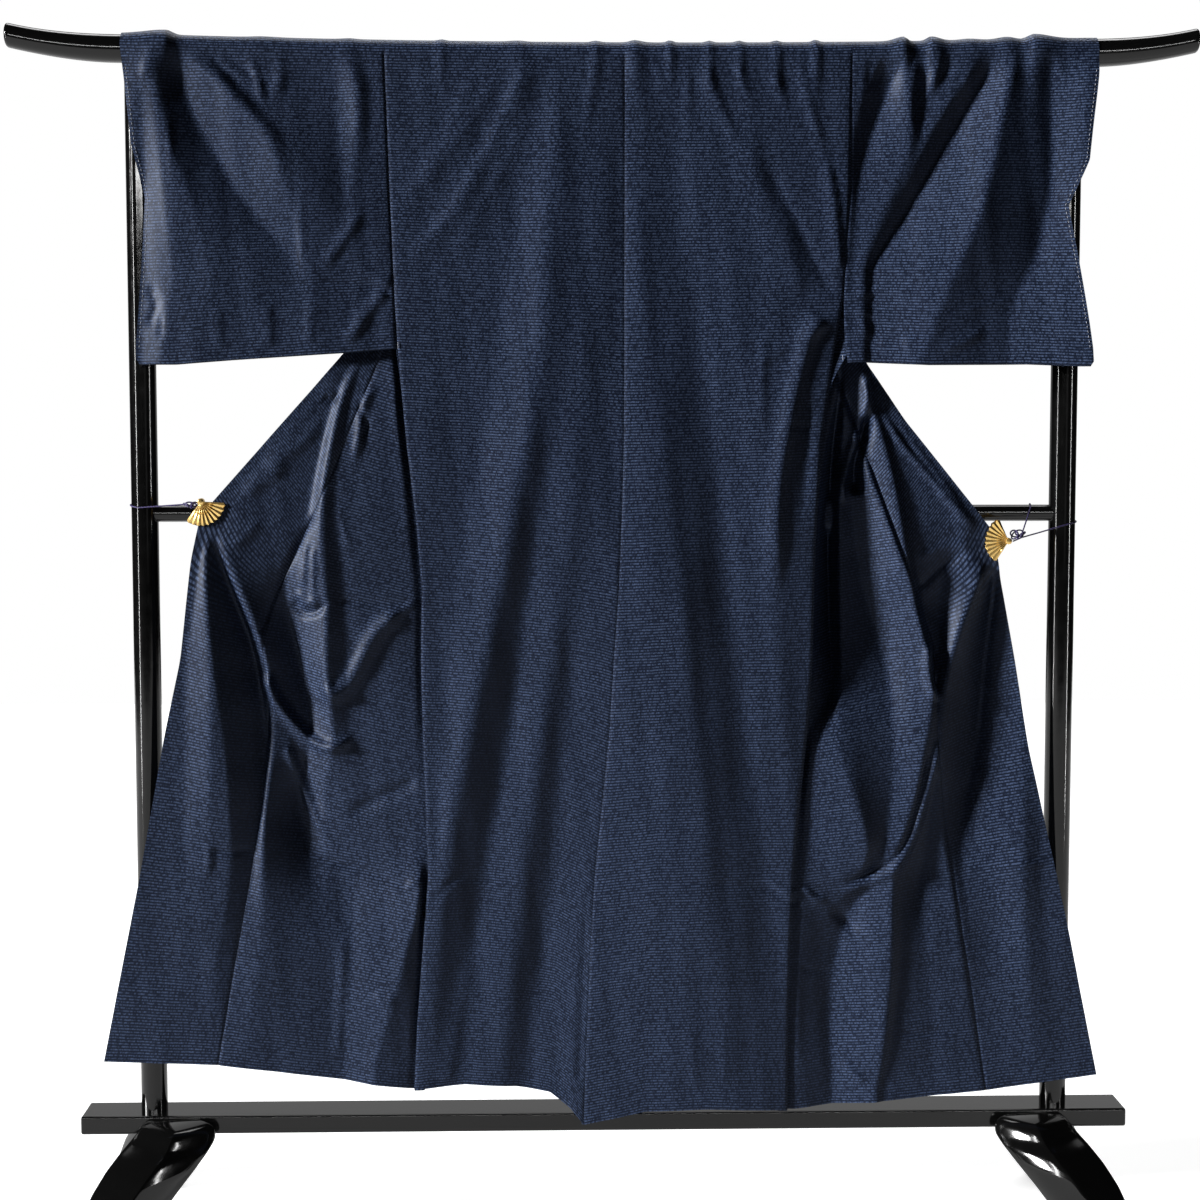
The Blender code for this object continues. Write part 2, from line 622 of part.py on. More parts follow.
def make_rod(finish):
    """Round rod along X with domed tips."""
    reach = ROD_HALF - ROD_RADIUS
    cap = np.array([0.0, 0.35, 0.65, 0.88])
    cap_x = ROD_HALF - ROD_RADIUS * (1.0 - np.sin(cap * math.pi / 2))
    inner = np.concatenate([np.linspace(-reach, -ROD_BEND, 5)[:-1], np.linspace(-ROD_BEND, ROD_BEND, 11),
                            np.linspace(ROD_BEND, reach, 5)[1:]])
    stations = [(x, ROD_RADIUS) for x in inner]
    tips = [(x, ROD_RADIUS * math.cos(c * math.pi / 2)) for x, c in zip(cap_x[1:], cap[1:])]
    stations = [(-x, r) for x, r in tips[::-1]] + stations + tips
    rings = []
    for x, radius in stations:
        y, z = circle(radius, ROD_SIDES)
        rings.append(np.stack([np.full(ROD_SIDES, x), y, z + float(rod_z(x))], axis=-1))
    return stacked_rings("rod", rings, finish)


def make_post(name, x, finish):
    top = float(rod_z(abs(x) - POST_RADIUS)) - ROD_RADIUS - TOUCH
    px, py = circle(POST_RADIUS, 20)
    rings = [np.stack([px + x, py, np.full(20, z)], axis=-1) for z in (RAIL_TOP + TOUCH, top)]
    return stacked_rings(name, rings, finish)


def make_crossbar(finish):
    end = POST_X - POST_RADIUS - TOUCH
    py, pz = circle(CROSSBAR_RADIUS, 16)
    rings = [np.stack([np.full(16, x), py, pz + CROSSBAR_Z], axis=-1) for x in (-end, end)]
    return stacked_rings("crossbar", rings, finish)


def make_rail(finish):
    """Flat board with eased edges."""
    half, deep = RAIL_HALF, RAIL_DEPTH / 2
    low = RAIL_TOP - RAIL_THICK
    corners = [(x, y, z) for z in (low, RAIL_TOP) for x, y in
               ((-half, -deep), (half, -deep), (half, deep), (-half, deep))]
    faces = [(0, 1, 2, 3), (4, 5, 6, 7), (0, 1, 5, 4), (1, 2, 6, 5), (2, 3, 7, 6), (3, 0, 4, 7)]
    rail = add_object("base_rail", corners, faces, finish)
    bevel = rail.modifiers.new("eased edges", "BEVEL")
    bevel.width = 0.003
    bevel.segments = 2
    return rail


def make_foot(name, side, front, finish):
    """Curved leg of square section set cornerwise, from under the rail outwards to the floor."""
    rings = []
    for drop, out_x, out_y, half in FOOT_ROWS:
        x = side * (FOOT_X + out_x)
        y = front * (FOOT_Y + out_y)
        z = RAIL_TOP - RAIL_THICK - TOUCH - drop
        ring = []
        for corner in range(4):
            for step in (-FOOT_EDGE, FOOT_EDGE):
                angle = math.pi / 2 * corner
                away = np.array([math.cos(angle), math.sin(angle)]) * (1.0 - abs(step))
                sideways = np.array([-math.sin(angle), math.cos(angle)]) * step
                ring.append((*(np.array([x, y]) + half * (away + sideways)), max(z, 0.0)))
        rings.append(np.array(ring))
    return stacked_rings(name, rings, finish)


def fan_outline(side, radius):
    """Outline of a clip's fan: straight sides from the hinge and a scalloped end."""
    hinge = np.array(CLIP_HINGE[side])
    turn = math.radians(CLIP_TURN[side])
    spread = math.radians(CLIP_SPREAD)
    outline = [hinge]
    steps = CLIP_RIBS * 2
    for i in range(steps + 1):
        angle = turn + spread * (i / steps - 0.5)
        reach = radius * (1.0 if i % 2 else 0.95)
        outline.append(hinge + reach * np.array([math.cos(angle), math.sin(angle)]))
    return outline


def make_clip(name, side, finish):
    """Two fan plates, one on each face of the cloth, held by a hinge barrel beyond its edge."""
    clip = clip_point(side)
    cloth = float(spread_y(clip[0], clip[1], side))
    before = cloth - WALL / 2 - 1.5 * TOUCH
    behind = cloth + COLLAR_BEHIND + WALL / 2 + 1.5 * TOUCH
    outline = fan_outline(side, CLIP_RADIUS)
    plates = []
    for start, end in ((before - CLIP_PLATE, before), (behind, behind + CLIP_PLATE)):
        rings = [np.array([(x, y, z) for x, z in outline]) for y in (start, end)]
        plates.append(stacked_rings(f"{name}_plate", rings, finish))
    hinge = CLIP_HINGE[side]
    bx, bz = circle(CLIP_BARREL, 12)
    rings = [np.stack([bx + hinge[0], np.full(12, y), bz + hinge[1]], axis=-1)
             for y in (before - CLIP_PLATE - CLIP_PROUD, behind + CLIP_PLATE + CLIP_PROUD)]
    body = stacked_rings(name, rings, finish)
    for plate in plates:
        join = body.modifiers.new("join", "BOOLEAN")
        join.operation = "UNION"
        join.object = plate
        plate.hide_render = True
        plate.display_type = "WIRE"
    return body


def make_cord(name, points, finish):
    """Thin round cord through a list of points."""
    curve = bpy.data.curves.new(name, "CURVE")
    curve.dimensions = "3D"
    curve.bevel_depth = CORD_RADIUS
    curve.bevel_resolution = 1
    curve.use_fill_caps = True
    spline = curve.splines.new("POLY")
    spline.points.add(len(points) - 1)
    for point, place in zip(spline.points, points):
        point.co = (*place, 1.0)
    curve.materials.append(finish)
    obj = bpy.data.objects.new(name, curve)
    bpy.context.scene.collection.objects.link(obj)
    return obj


def taut_route(points):
    """The points joined by straight runs, with further points at even steps along each long run."""
    made = [points[0]]
    for start, end in zip(points, points[1:]):
        start, end = np.array(start), np.array(end)
        count = max(1, round(float(np.linalg.norm(end - start)) / CORD_STEP))
        made += [start + (end - start) * (i + 1) / count for i in range(count)]
    return made


def clip_knob(side):
    """Where a cord leaves a clip's hinge barrel."""
    clip = clip_point(side)
    hinge = CLIP_HINGE[side]
    middle = float(spread_y(clip[0], clip[1], side)) + COLLAR_BEHIND / 2
    return np.array([hinge[0] + side * (CLIP_BARREL + CORD_RADIUS + TOUCH), middle, hinge[1]])


def round_post(side):
    """Over the front of a post, round its outside and behind it, from where the cord meets it."""
    ring = POST_RADIUS + CORD_RADIUS + TOUCH
    turn = np.linspace(0.0, CORD_TURN, CORD_TURN_STEPS)
    angles = -math.pi / 2 + side * (turn + CORD_MEETS)
    height = CORD_ON_POST[side] + CORD_RISE * turn / CORD_TURN
    return [(side * POST_X + ring * math.cos(a), ring * math.sin(a), z) for a, z in zip(angles, height)]


def cord_left_route():
    return taut_route([clip_knob(-1)] + round_post(-1))


def cord_right_route():
    return taut_route([clip_knob(1), cord_knot()] + round_post(1))


def cord_knot():
    """Where the second strand is knotted to the first on the right."""
    return clip_knob(1) + np.array(CORD_KNOT)


def cord_bar_route():
    """Second strand, from the knot up to the crossbar and over it."""
    start = cord_knot() + np.array([0.0, 0.0, 2 * (CORD_RADIUS + TOUCH)])
    ring = CROSSBAR_RADIUS + CORD_RADIUS + TOUCH
    points = [start]
    for turn in np.linspace(0.0, CORD_TURN, CORD_TURN_STEPS):
        angle = math.radians(CORD_ON_BAR) - turn
        y, z = ring * math.cos(angle), ring * math.sin(angle)
        points.append((CORD_BAR_X + CORD_PITCH * turn, y, CROSSBAR_Z + z))
    return taut_route(points)


def main():
    for obj in list(bpy.data.objects):
        bpy.data.objects.remove(obj)
    cloth = material("indigo silk", (0.035, 0.05, 0.11), 0.62, 0.0)
    lacquer = material("black lacquer", (0.008, 0.008, 0.009), 0.16, 0.0)
    gilt = material("gilt brass", (0.86, 0.62, 0.22), 0.28, 1.0)
    violet = material("violet cord", (0.20, 0.10, 0.42), 0.6, 0.0)
    make_rod(lacquer)
    make_crossbar(lacquer)
    make_rail(lacquer)
    for side, word in ((-1, "left"), (1, "right")):
        make_post(f"post_{word}", side * POST_X, lacquer)
        for front, place in ((-1, "front"), (1, "back")):
            make_foot(f"foot_{place}_{word}", side, front, lacquer)
        cloth_wall(f"back_{word}", back_panel(side), cloth)
        cloth_wall(f"front_{word}", front_panel(side), cloth)
        cloth_wall(f"okumi_{word}", okumi_panel(side), cloth)
        cloth_wall(f"sleeve_{word}", sleeve_tube(side), cloth, closed=True)
        make_clip(f"clip_{word}", side, gilt)
    cloth_wall("collar", collar_band(), cloth)
    make_cord("cord_left", cord_left_route(), violet)
    make_cord("cord_right", cord_right_route(), violet)
    make_cord("cord_right_bar", cord_bar_route(), violet)


main()
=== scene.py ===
import math

import bmesh
import bpy
import numpy as np
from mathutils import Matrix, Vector


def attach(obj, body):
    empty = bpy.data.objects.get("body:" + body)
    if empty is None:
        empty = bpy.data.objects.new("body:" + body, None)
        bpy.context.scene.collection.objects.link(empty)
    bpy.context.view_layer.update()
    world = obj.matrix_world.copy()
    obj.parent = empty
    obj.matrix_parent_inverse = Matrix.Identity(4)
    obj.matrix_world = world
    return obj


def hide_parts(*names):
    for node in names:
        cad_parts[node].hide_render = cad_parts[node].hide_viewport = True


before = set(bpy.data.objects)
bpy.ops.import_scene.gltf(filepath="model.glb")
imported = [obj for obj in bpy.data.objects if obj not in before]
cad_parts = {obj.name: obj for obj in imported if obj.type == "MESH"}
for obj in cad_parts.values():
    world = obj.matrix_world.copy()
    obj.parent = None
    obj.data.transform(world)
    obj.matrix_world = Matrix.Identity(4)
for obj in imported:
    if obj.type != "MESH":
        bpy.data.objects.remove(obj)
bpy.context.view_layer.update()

scene = bpy.context.scene
sideNames = {-1: "left", 1: "right"}

# camera
cameraView = {
    "place": (-0.08696, -3.0, 1.11819),   # a little left of the middle and above it
    "target": (-0.0084, 0.0, 0.882),
    "lens": 64.507,
    "sensor": 36.0,
}


def makeCamera(view):
    data = bpy.data.cameras.new("camera")
    data.lens = view["lens"]
    data.sensor_width = view["sensor"]
    camera = bpy.data.objects.new("camera", data)
    scene.collection.objects.link(camera)
    camera.location = view["place"]
    ahead = Vector(view["target"]) - Vector(view["place"])
    camera.rotation_euler = ahead.to_track_quat("-Z", "Y").to_euler()
    scene.camera = camera


makeCamera(cameraView)
print("camera set")


# small helpers
def smooth(t):
    # 0 below 0, 1 above 1, and an S curve between
    t = np.clip(t, 0.0, 1.0)
    return t * t * (3.0 - 2.0 * t)


def above(z, level):
    # 0 up to the level's start, easing to 1 over its second number upwards
    return smooth((z - level[0]) / level[1])


def below(z, level):
    # 0 down to the level's start, easing to 1 over its second number downwards
    return smooth((level[0] - z) / level[1])


def tableAt(rows, value):
    # second column of a table at a value of its first, straight between rows
    rows = sorted(rows)
    return np.interp(value, [row[0] for row in rows], [row[1] for row in rows])


def lengthsAlong(points):
    # length of a line up to each of its points
    steps = np.linalg.norm(np.diff(np.array(points, float), axis=0), axis=1)
    return np.concatenate([[0.0], np.cumsum(steps)])


def pathLength(points):
    return float(lengthsAlong(points)[-1])


def pathAt(points, shares, passes=14, samples=201):
    # points at shares of a line's length, its corners rounded by averaging each sample with its neighbours
    points = np.array(points, float)
    lengths = lengthsAlong(points)
    dense = np.linspace(0.0, 1.0, samples)
    line = np.stack([np.interp(dense * lengths[-1], lengths, column) for column in points.T], axis=1)
    for _ in range(passes):
        line[1:-1] = (line[:-2] + 2.0 * line[1:-1] + line[2:]) / 4.0
    return np.stack([np.interp(shares, dense, column) for column in line.T], axis=-1)


def keptBefore(y, limit, ease):
    # a depth that comes no nearer to the back than a limit: y - ease * log(1 + e^((y - limit) / ease))
    return y - ease * np.log1p(np.exp(np.clip((y - limit) / ease, -30.0, 30.0)))


def ringsAbout(points, run, across, radius, sides):
    # circles about points, square to the run of the line there; across is a direction that no run has
    run = run / np.linalg.norm(run, axis=1, keepdims=True)
    first = np.cross(run, across)
    first /= np.linalg.norm(first, axis=1, keepdims=True)
    second = np.cross(run, first)
    turn = np.arange(sides) * 2.0 * math.pi / sides
    around = np.cos(turn)[:, None] * first[:, None] + np.sin(turn)[:, None] * second[:, None]
    return points[:, None] + radius * around


def linear(hexColour):
    # sRGB hex to the linear colour that the shader wants
    parts = np.array([int(hexColour[i:i + 2], 16) / 255.0 for i in (1, 3, 5)])
    parts = np.where(parts <= 0.04045, parts / 12.92, ((parts + 0.055) / 1.055) ** 2.4)
    return (*[float(part) for part in parts], 1.0)


def feed(tree, node, values):
    # sets a node's sockets, each to a number or to a link
    for key, value in values.items():
        if isinstance(value, bpy.types.NodeSocket):
            tree.links.new(value, node.inputs[key])
        else:
            node.inputs[key].default_value = value


def put(tree, kind, settings=None, values=None):
    # adds a node; settings are its own choices, values are numbers or links for its sockets
    node = tree.nodes.new(kind)
    for key, value in (settings or {}).items():
        setattr(node, key, value)
    feed(tree, node, values or {})
    return node


def ranges(inputs=(0.0, 1.0), outputs=(0.0, 1.0)):
    # the ends that a Map Range node maps between
    return {"From Min": inputs[0], "From Max": inputs[1], "To Min": outputs[0], "To Max": outputs[1]}


def shades(hexColours):
    # the two colours that a Mix node goes between
    return {"A": linear(hexColours[0]), "B": linear(hexColours[1])}


def newMaterial(name):
    made = bpy.data.materials.new(name)
    made.use_nodes = True
    return made, made.node_tree, made.node_tree.nodes["Principled BSDF"]


# materials
silk = {
    "figure": "#465471",      # undyed dashes of the kasuri yarn
    "ground": ("#0a101e", "#121a2d"),      # piece-dyed indigo, nearly black between the dashes
    "groundScale": 9.0,       # noise that moves between the two ground colours
    "rowPitch": 0.0040,       # rows of dashes up the cloth, coarser than the real ones so that they show
    "rowBand": (0.36, 0.16),  # way from a row's middle, in rows, where a dash ends and where it is full
    "wanderScale": 30.0,      # noise that makes the rows wander
    "wanderRows": 0.45,       # how far they wander, in rows
    "dashLong": 0.0032,       # size of the irregular dashes along a row
    "dashNoise": (0.34, 0.6),              # noise between two dashes, and in a full one
    "dashShown": (0.15, 1.0),              # what shows of the figure there
    "rowJump": 7.31,          # step through the noise from one row to the next
    "speckScale": 460.0,      # specks where single threads take the dye unevenly
    "speckNoise": (0.3, 0.7), "speckShade": (0.5, 1.5),
    "threadScale": (60.0, 620.0, 1.0),     # slubs run along the weft
    "dashRaised": 0.7,        # height of a dash beside the threads' own
    "bump": 0.16,
    "bumpDeep": 0.0004,
    "roughness": (0.41, 0.55),
    "sheen": 0.03, "sheenRoughness": 0.4, "sheenTint": "#a0aeca",
    "specular": 0.22, "specularTint": "#cbd3e6",
}
lacquer = {
    "colours": ("#070707", "#1c1a19"),     # the black, and a speck of dust in it
    "dustScale": 420.0, "dustNoise": (0.66, 0.74), "dustShown": (0.0, 0.35),
    "swellScale": 55.0, "swellNoise": (0.3, 0.75), "roughness": (0.08, 0.14),
    "bump": 0.05, "bumpDeep": 0.001,
    "specular": 0.3,
}
brass = {
    "colours": ("#c2913f", "#f8dc92"), "stainScale": 160.0,      # stained, and bright
    "roughness": (0.38, 0.2), "metallic": 0.72,
    "bump": 0.15, "bumpDeep": 0.0003,
}
rayon = {
    "colours": ("#130a33", "#36246f"),     # painted shade between two strands, and a painted highlight on one
    "strandScale": 190.0, "strandStray": 1.0,
    "bump": 0.4, "bumpDeep": 0.0003,
    "roughness": 0.5, "sheen": 0.08,
}
basting = {"colours": ("#8d93a3", "#d9dbe2"), "fuzzScale": 900.0, "roughness": 0.8}
paper = {"colours": ("#f4f4f3", "#fafafa"), "grainScale": 2.0, "roughness": 0.9, "glow": 0.62}


def wovenSilk():
    # plain-woven kasuri silk: rows of uneven pale dashes on indigo, with the broad soft gleam of silk
    made, tree, shader = newMaterial("woven kasuri silk")
    place = put(tree, "ShaderNodeUVMap", {"uv_map": "cloth"}).outputs["UV"]
    axes = put(tree, "ShaderNodeSeparateXYZ", None, {0: place})
    wander = put(tree, "ShaderNodeTexNoise", None,
                 {"Vector": place, "Scale": silk["wanderScale"], "Detail": 1.0})
    drift = put(tree, "ShaderNodeMath", {"operation": "MULTIPLY"},
                {0: wander.outputs["Fac"], 1: silk["wanderRows"]})
    up = put(tree, "ShaderNodeMath", {"operation": "MULTIPLY_ADD"},
             {0: axes.outputs["Y"], 1: 1.0 / silk["rowPitch"], 2: drift.outputs[0]})
    part = put(tree, "ShaderNodeMath", {"operation": "FRACT"}, {0: up.outputs[0]})
    centred = put(tree, "ShaderNodeMath", {"operation": "SUBTRACT"}, {0: part.outputs[0], 1: 0.5})
    away = put(tree, "ShaderNodeMath", {"operation": "ABSOLUTE"}, {0: centred.outputs[0]})
    band = put(tree, "ShaderNodeMapRange", {"interpolation_type": "SMOOTHSTEP"},
               {"Value": away.outputs[0], **ranges(silk["rowBand"])})
    # each row has dashes of its own: noise along it, far from the next row's
    row = put(tree, "ShaderNodeMath", {"operation": "FLOOR"}, {0: up.outputs[0]})
    along = put(tree, "ShaderNodeMath", {"operation": "MULTIPLY"},
                {0: axes.outputs["X"], 1: 1.0 / silk["dashLong"]})
    jump = put(tree, "ShaderNodeMath", {"operation": "MULTIPLY"}, {0: row.outputs[0], 1: silk["rowJump"]})
    spot = put(tree, "ShaderNodeCombineXYZ", None, {0: along.outputs[0], 1: jump.outputs[0]})
    grain = put(tree, "ShaderNodeTexNoise", None, {"Vector": spot.outputs[0], "Scale": 1.0, "Detail": 1.0})
    dash = put(tree, "ShaderNodeMapRange", {"interpolation_type": "SMOOTHSTEP"},
               {"Value": grain.outputs["Fac"], **ranges(silk["dashNoise"], silk["dashShown"])})
    shown = put(tree, "ShaderNodeMath", {"operation": "MULTIPLY"}, {0: band.outputs[0], 1: dash.outputs[0]})
    cloud = put(tree, "ShaderNodeTexNoise", None,
                {"Vector": place, "Scale": silk["groundScale"], "Detail": 3.0})
    ground = put(tree, "ShaderNodeMix", {"data_type": "RGBA"},
                 {"Factor": cloud.outputs["Fac"], **shades(silk["ground"])})
    colour = put(tree, "ShaderNodeMix", {"data_type": "RGBA"},
                 {"Factor": shown.outputs[0], "A": ground.outputs["Result"], "B": linear(silk["figure"])})
    speck = put(tree, "ShaderNodeTexNoise", None,
                {"Vector": place, "Scale": silk["speckScale"], "Detail": 1.0})
    uneven = put(tree, "ShaderNodeMapRange", None,
                 {"Value": speck.outputs["Fac"], **ranges(silk["speckNoise"], silk["speckShade"])})
    dyed = put(tree, "ShaderNodeVectorMath", {"operation": "SCALE"},
               {0: colour.outputs["Result"], "Scale": uneven.outputs[0]})
    slub = put(tree, "ShaderNodeMapping", None, {"Vector": place, "Scale": silk["threadScale"]})
    thread = put(tree, "ShaderNodeTexNoise", None,
                 {"Vector": slub.outputs["Vector"], "Scale": 1.0, "Detail": 2.0})
    height = put(tree, "ShaderNodeMath", {"operation": "MULTIPLY_ADD"},
                 {0: shown.outputs[0], 1: silk["dashRaised"], 2: thread.outputs["Fac"]})
    bump = put(tree, "ShaderNodeBump", None,
               {"Height": height.outputs[0], "Strength": silk["bump"], "Distance": silk["bumpDeep"]})
    rough = put(tree, "ShaderNodeMapRange", None,
                {"Value": thread.outputs["Fac"], **ranges(outputs=silk["roughness"])})
    feed(tree, shader, {
        "Base Color": dyed.outputs[0], "Normal": bump.outputs["Normal"], "Roughness": rough.outputs[0],
        "Sheen Weight": silk["sheen"], "Sheen Roughness": silk["sheenRoughness"],
        "Sheen Tint": linear(silk["sheenTint"]), "Specular IOR Level": silk["specular"],
        "Specular Tint": linear(silk["specularTint"]),
    })
    return made


def blackLacquer():
    # urethane lacquer over wood, sprayed and buffed: mirror black, a faint orange-peel swell and few specks
    made, tree, shader = newMaterial("black lacquer on wood")
    place = put(tree, "ShaderNodeTexCoord").outputs["Object"]
    swell = put(tree, "ShaderNodeTexNoise", None,
                {"Vector": place, "Scale": lacquer["swellScale"], "Detail": 2.0})
    dust = put(tree, "ShaderNodeTexNoise", None,
               {"Vector": place, "Scale": lacquer["dustScale"], "Detail": 2.0})
    speck = put(tree, "ShaderNodeMapRange", None,
                {"Value": dust.outputs["Fac"], **ranges(lacquer["dustNoise"], lacquer["dustShown"])})
    colour = put(tree, "ShaderNodeMix", {"data_type": "RGBA"},
                 {"Factor": speck.outputs[0], **shades(lacquer["colours"])})
    rough = put(tree, "ShaderNodeMapRange", None,
                {"Value": swell.outputs["Fac"], **ranges(lacquer["swellNoise"], lacquer["roughness"])})
    bump = put(tree, "ShaderNodeBump", None,
               {"Height": swell.outputs["Fac"], "Strength": lacquer["bump"], "Distance": lacquer["bumpDeep"]})
    feed(tree, shader, {
        "Base Color": colour.outputs["Result"], "Roughness": rough.outputs[0],
        "Normal": bump.outputs["Normal"], "Specular IOR Level": lacquer["specular"],
    })
    return made


def giltBrass():
    # stamped brass with gold wash: warm and bright, stained browner in patches at random
    made, tree, shader = newMaterial("gold-washed stamped brass")
    place = put(tree, "ShaderNodeTexCoord").outputs["Object"]
    stain = put(tree, "ShaderNodeTexNoise", None,
                {"Vector": place, "Scale": brass["stainScale"], "Detail": 3.0})
    colour = put(tree, "ShaderNodeMix", {"data_type": "RGBA"},
                 {"Factor": stain.outputs["Fac"], **shades(brass["colours"])})
    rough = put(tree, "ShaderNodeMapRange", None,
                {"Value": stain.outputs["Fac"], **ranges(outputs=brass["roughness"])})
    bump = put(tree, "ShaderNodeBump", None,
               {"Height": stain.outputs["Fac"], "Strength": brass["bump"], "Distance": brass["bumpDeep"]})
    feed(tree, shader, {
        "Base Color": colour.outputs["Result"], "Roughness": rough.outputs[0],
        "Normal": bump.outputs["Normal"], "Metallic": brass["metallic"],
    })
    return made


def violetCord():
    # twisted rayon cord: violet, with a painted highlight along each strand and painted shade between the
    # strands
    made, tree, shader = newMaterial("twisted rayon cord")
    place = put(tree, "ShaderNodeTexCoord").outputs["Object"]
    strandShadeAndTwist = put(tree, "ShaderNodeTexWave", {"bands_direction": "DIAGONAL"},
                 {"Vector": place, "Scale": rayon["strandScale"], "Distortion": rayon["strandStray"]})
    # the twist's bands paint a highlight on each strand and shade between strands; the same bands raise the
    # bump
    colour = put(tree, "ShaderNodeMix", {"data_type": "RGBA"},
                 {"Factor": strandShadeAndTwist.outputs["Fac"], **shades(rayon["colours"])})
    bump = put(tree, "ShaderNodeBump", None,
               {"Height": strandShadeAndTwist.outputs["Fac"], "Strength": rayon["bump"], "Distance": rayon["bumpDeep"]})
    feed(tree, shader, {
        "Base Color": colour.outputs["Result"], "Normal": bump.outputs["Normal"],
        "Roughness": rayon["roughness"], "Sheen Weight": rayon["sheen"],
    })
    return made


def stitchThread():
    # spun white basting thread, matt and a little fuzzy
    made, tree, shader = newMaterial("spun white thread")
    place = put(tree, "ShaderNodeTexCoord").outputs["Object"]
    fuzz = put(tree, "ShaderNodeTexNoise", None,
               {"Vector": place, "Scale": basting["fuzzScale"], "Detail": 1.0})
    colour = put(tree, "ShaderNodeMix", {"data_type": "RGBA"},
                 {"Factor": fuzz.outputs["Fac"], **shades(basting["colours"])})
    feed(tree, shader, {"Base Color": colour.outputs["Result"], "Roughness": basting["roughness"]})
    return made


def studioPaper():
    # matt white background paper; it glows a little, as a floor lit from all round by lamps out of sight
    made, tree, shader = newMaterial("matt white studio paper")
    place = put(tree, "ShaderNodeTexCoord").outputs["Object"]
    grain = put(tree, "ShaderNodeTexNoise", None, {"Vector": place, "Scale": paper["grainScale"]})
    colour = put(tree, "ShaderNodeMix", {"data_type": "RGBA"},
                 {"Factor": grain.outputs["Fac"], **shades(paper["colours"])})
    feed(tree, shader, {
        "Base Color": colour.outputs["Result"], "Roughness": paper["roughness"],
        "Emission Color": (1.0, 1.0, 1.0, 1.0), "Emission Strength": paper["glow"],
    })
    return made


finishes = {
    "silk": wovenSilk(),
    "lacquer": blackLacquer(),
    "gilt": giltBrass(),
    "cord": violetCord(),
    "thread": stitchThread(),
    "paper": studioPaper(),
}
print("materials made:", len(finishes))


# making meshes
shining = bpy.data.collections.new("shining")      # the pieces that the strip lights fall on


def finishPiece(obj, finish, nodes):
    # gives a piece its finish and its place in the model; nodes are the solids that it stands for
    obj.data.materials.append(finishes[finish])
    scene.collection.objects.link(obj)
    if finish == "lacquer":
        shining.objects.link(obj)
    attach(obj, "root")
    if nodes:
        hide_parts(*nodes)
    return obj


def gridMesh(name, grid, uv=None, closed=False, caps=False):
    # quads between neighbouring points of a grid; closed joins the last column to the first,
    # and caps fill both ends
    rows, columns = grid.shape[:2]
    i, j = np.meshgrid(np.arange(rows - 1), np.arange(columns if closed else columns - 1), indexing="ij")
    k = (j + 1) % columns
    faces = np.stack([i * columns + j, (i + 1) * columns + j, (i + 1) * columns + k, i * columns + k],
                     axis=-1).reshape(-1, 4).tolist()
    sheetFaces = len(faces)
    if caps:
        faces.append(list(range(columns)))
        faces.append(list(range(rows * columns - 1, (rows - 1) * columns - 1, -1)))
    mesh = bpy.data.meshes.new(name)
    mesh.from_pydata(grid.reshape(-1, 3).tolist(), [], faces)
    if uv is not None:
        corners = np.stack([uv[i, j], uv[i + 1, j], uv[i + 1, j + 1], uv[i, j + 1]], axis=2).reshape(-1, 2)
        layer = mesh.uv_layers.new(name="cloth")
        layer.uv.foreach_set("vector", corners[: sheetFaces * 4].astype(np.float32).ravel())
    mesh.shade_smooth()
    return mesh


def turnOutwards(mesh):
    # welds the poles and makes all faces of a closed mesh point outwards
    work = bmesh.new()
    work.from_mesh(mesh)
    bmesh.ops.remove_doubles(work, verts=work.verts, dist=1e-6)
    bmesh.ops.recalc_face_normals(work, faces=work.faces)
    work.to_mesh(mesh)
    work.free()


def sharpen(mesh, degrees=38.0):
    # shades hard edges as such
    mesh.set_sharp_from_angle(angle=math.radians(degrees))


def clothPiece(node, grid, uv, closed=False, thickness=0.0010):
    # a thin shell: the grid is the middle of the cloth, and the wall grows evenly to both sides
    name = node + "_silk"
    mesh = gridMesh(name, grid, uv, closed)
    rows, columns = grid.shape[:2]
    edges = np.zeros(len(mesh.edges) * 2, np.int32)
    mesh.edges.foreach_get("vertices", edges)
    row, column = edges.reshape(-1, 2) // columns, edges.reshape(-1, 2) % columns
    border = (row == 0).all(axis=1) | (row == rows - 1).all(axis=1)
    if not closed:
        border |= (column == 0).all(axis=1) | (column == columns - 1).all(axis=1)
    sharp = mesh.attributes.get("sharp_edge") or mesh.attributes.new("sharp_edge", "BOOLEAN", "EDGE")
    sharp.data.foreach_set("value", border)
    obj = bpy.data.objects.new(name, mesh)
    wall = obj.modifiers.new("wall", "SOLIDIFY")
    wall.thickness = thickness
    wall.offset = 0.0
    print(name, "faces", len(mesh.polygons))
    return finishPiece(obj, "silk", [node])


def lacquerPiece(node, mesh):
    # the dressed form of one of the stand's solids
    turnOutwards(mesh)
    sharpen(mesh)
    return finishPiece(bpy.data.objects.new(node + "_lacquered", mesh), "lacquer", [node])


# measures of the stand, which the cords and the cloth go round
stand = {
    "postX": 0.640, "postRadius": 0.0185, "postInRod": 0.008, "postInRail": 0.001, "postSides": 96,
    "barZ": 1.0035, "barRadius": 0.0115, "barInPost": 0.010, "barSides": 64,
    "railHalf": 0.738, "railDepth": 0.068, "railTop": 0.159, "railThick": 0.026, "railEase": 0.0035,
    "rodHeight": 1.629, "rodRadius": 0.019, "rodHalf": 0.818, "rodSides": 96,
    "rodBend": 0.66, "rodRise": 0.009, "tipRise": 0.018,
    "rodEase": 0.0045, "tipRadius": 0.0165, "tipFrom": (0.67, 0.145),      # it thins from here, over so much
    "footX": 0.603, "footY": 0.052, "footRound": 1.14, "footSides": 64, "footRings": 44,
    "touch": 0.0003,
}

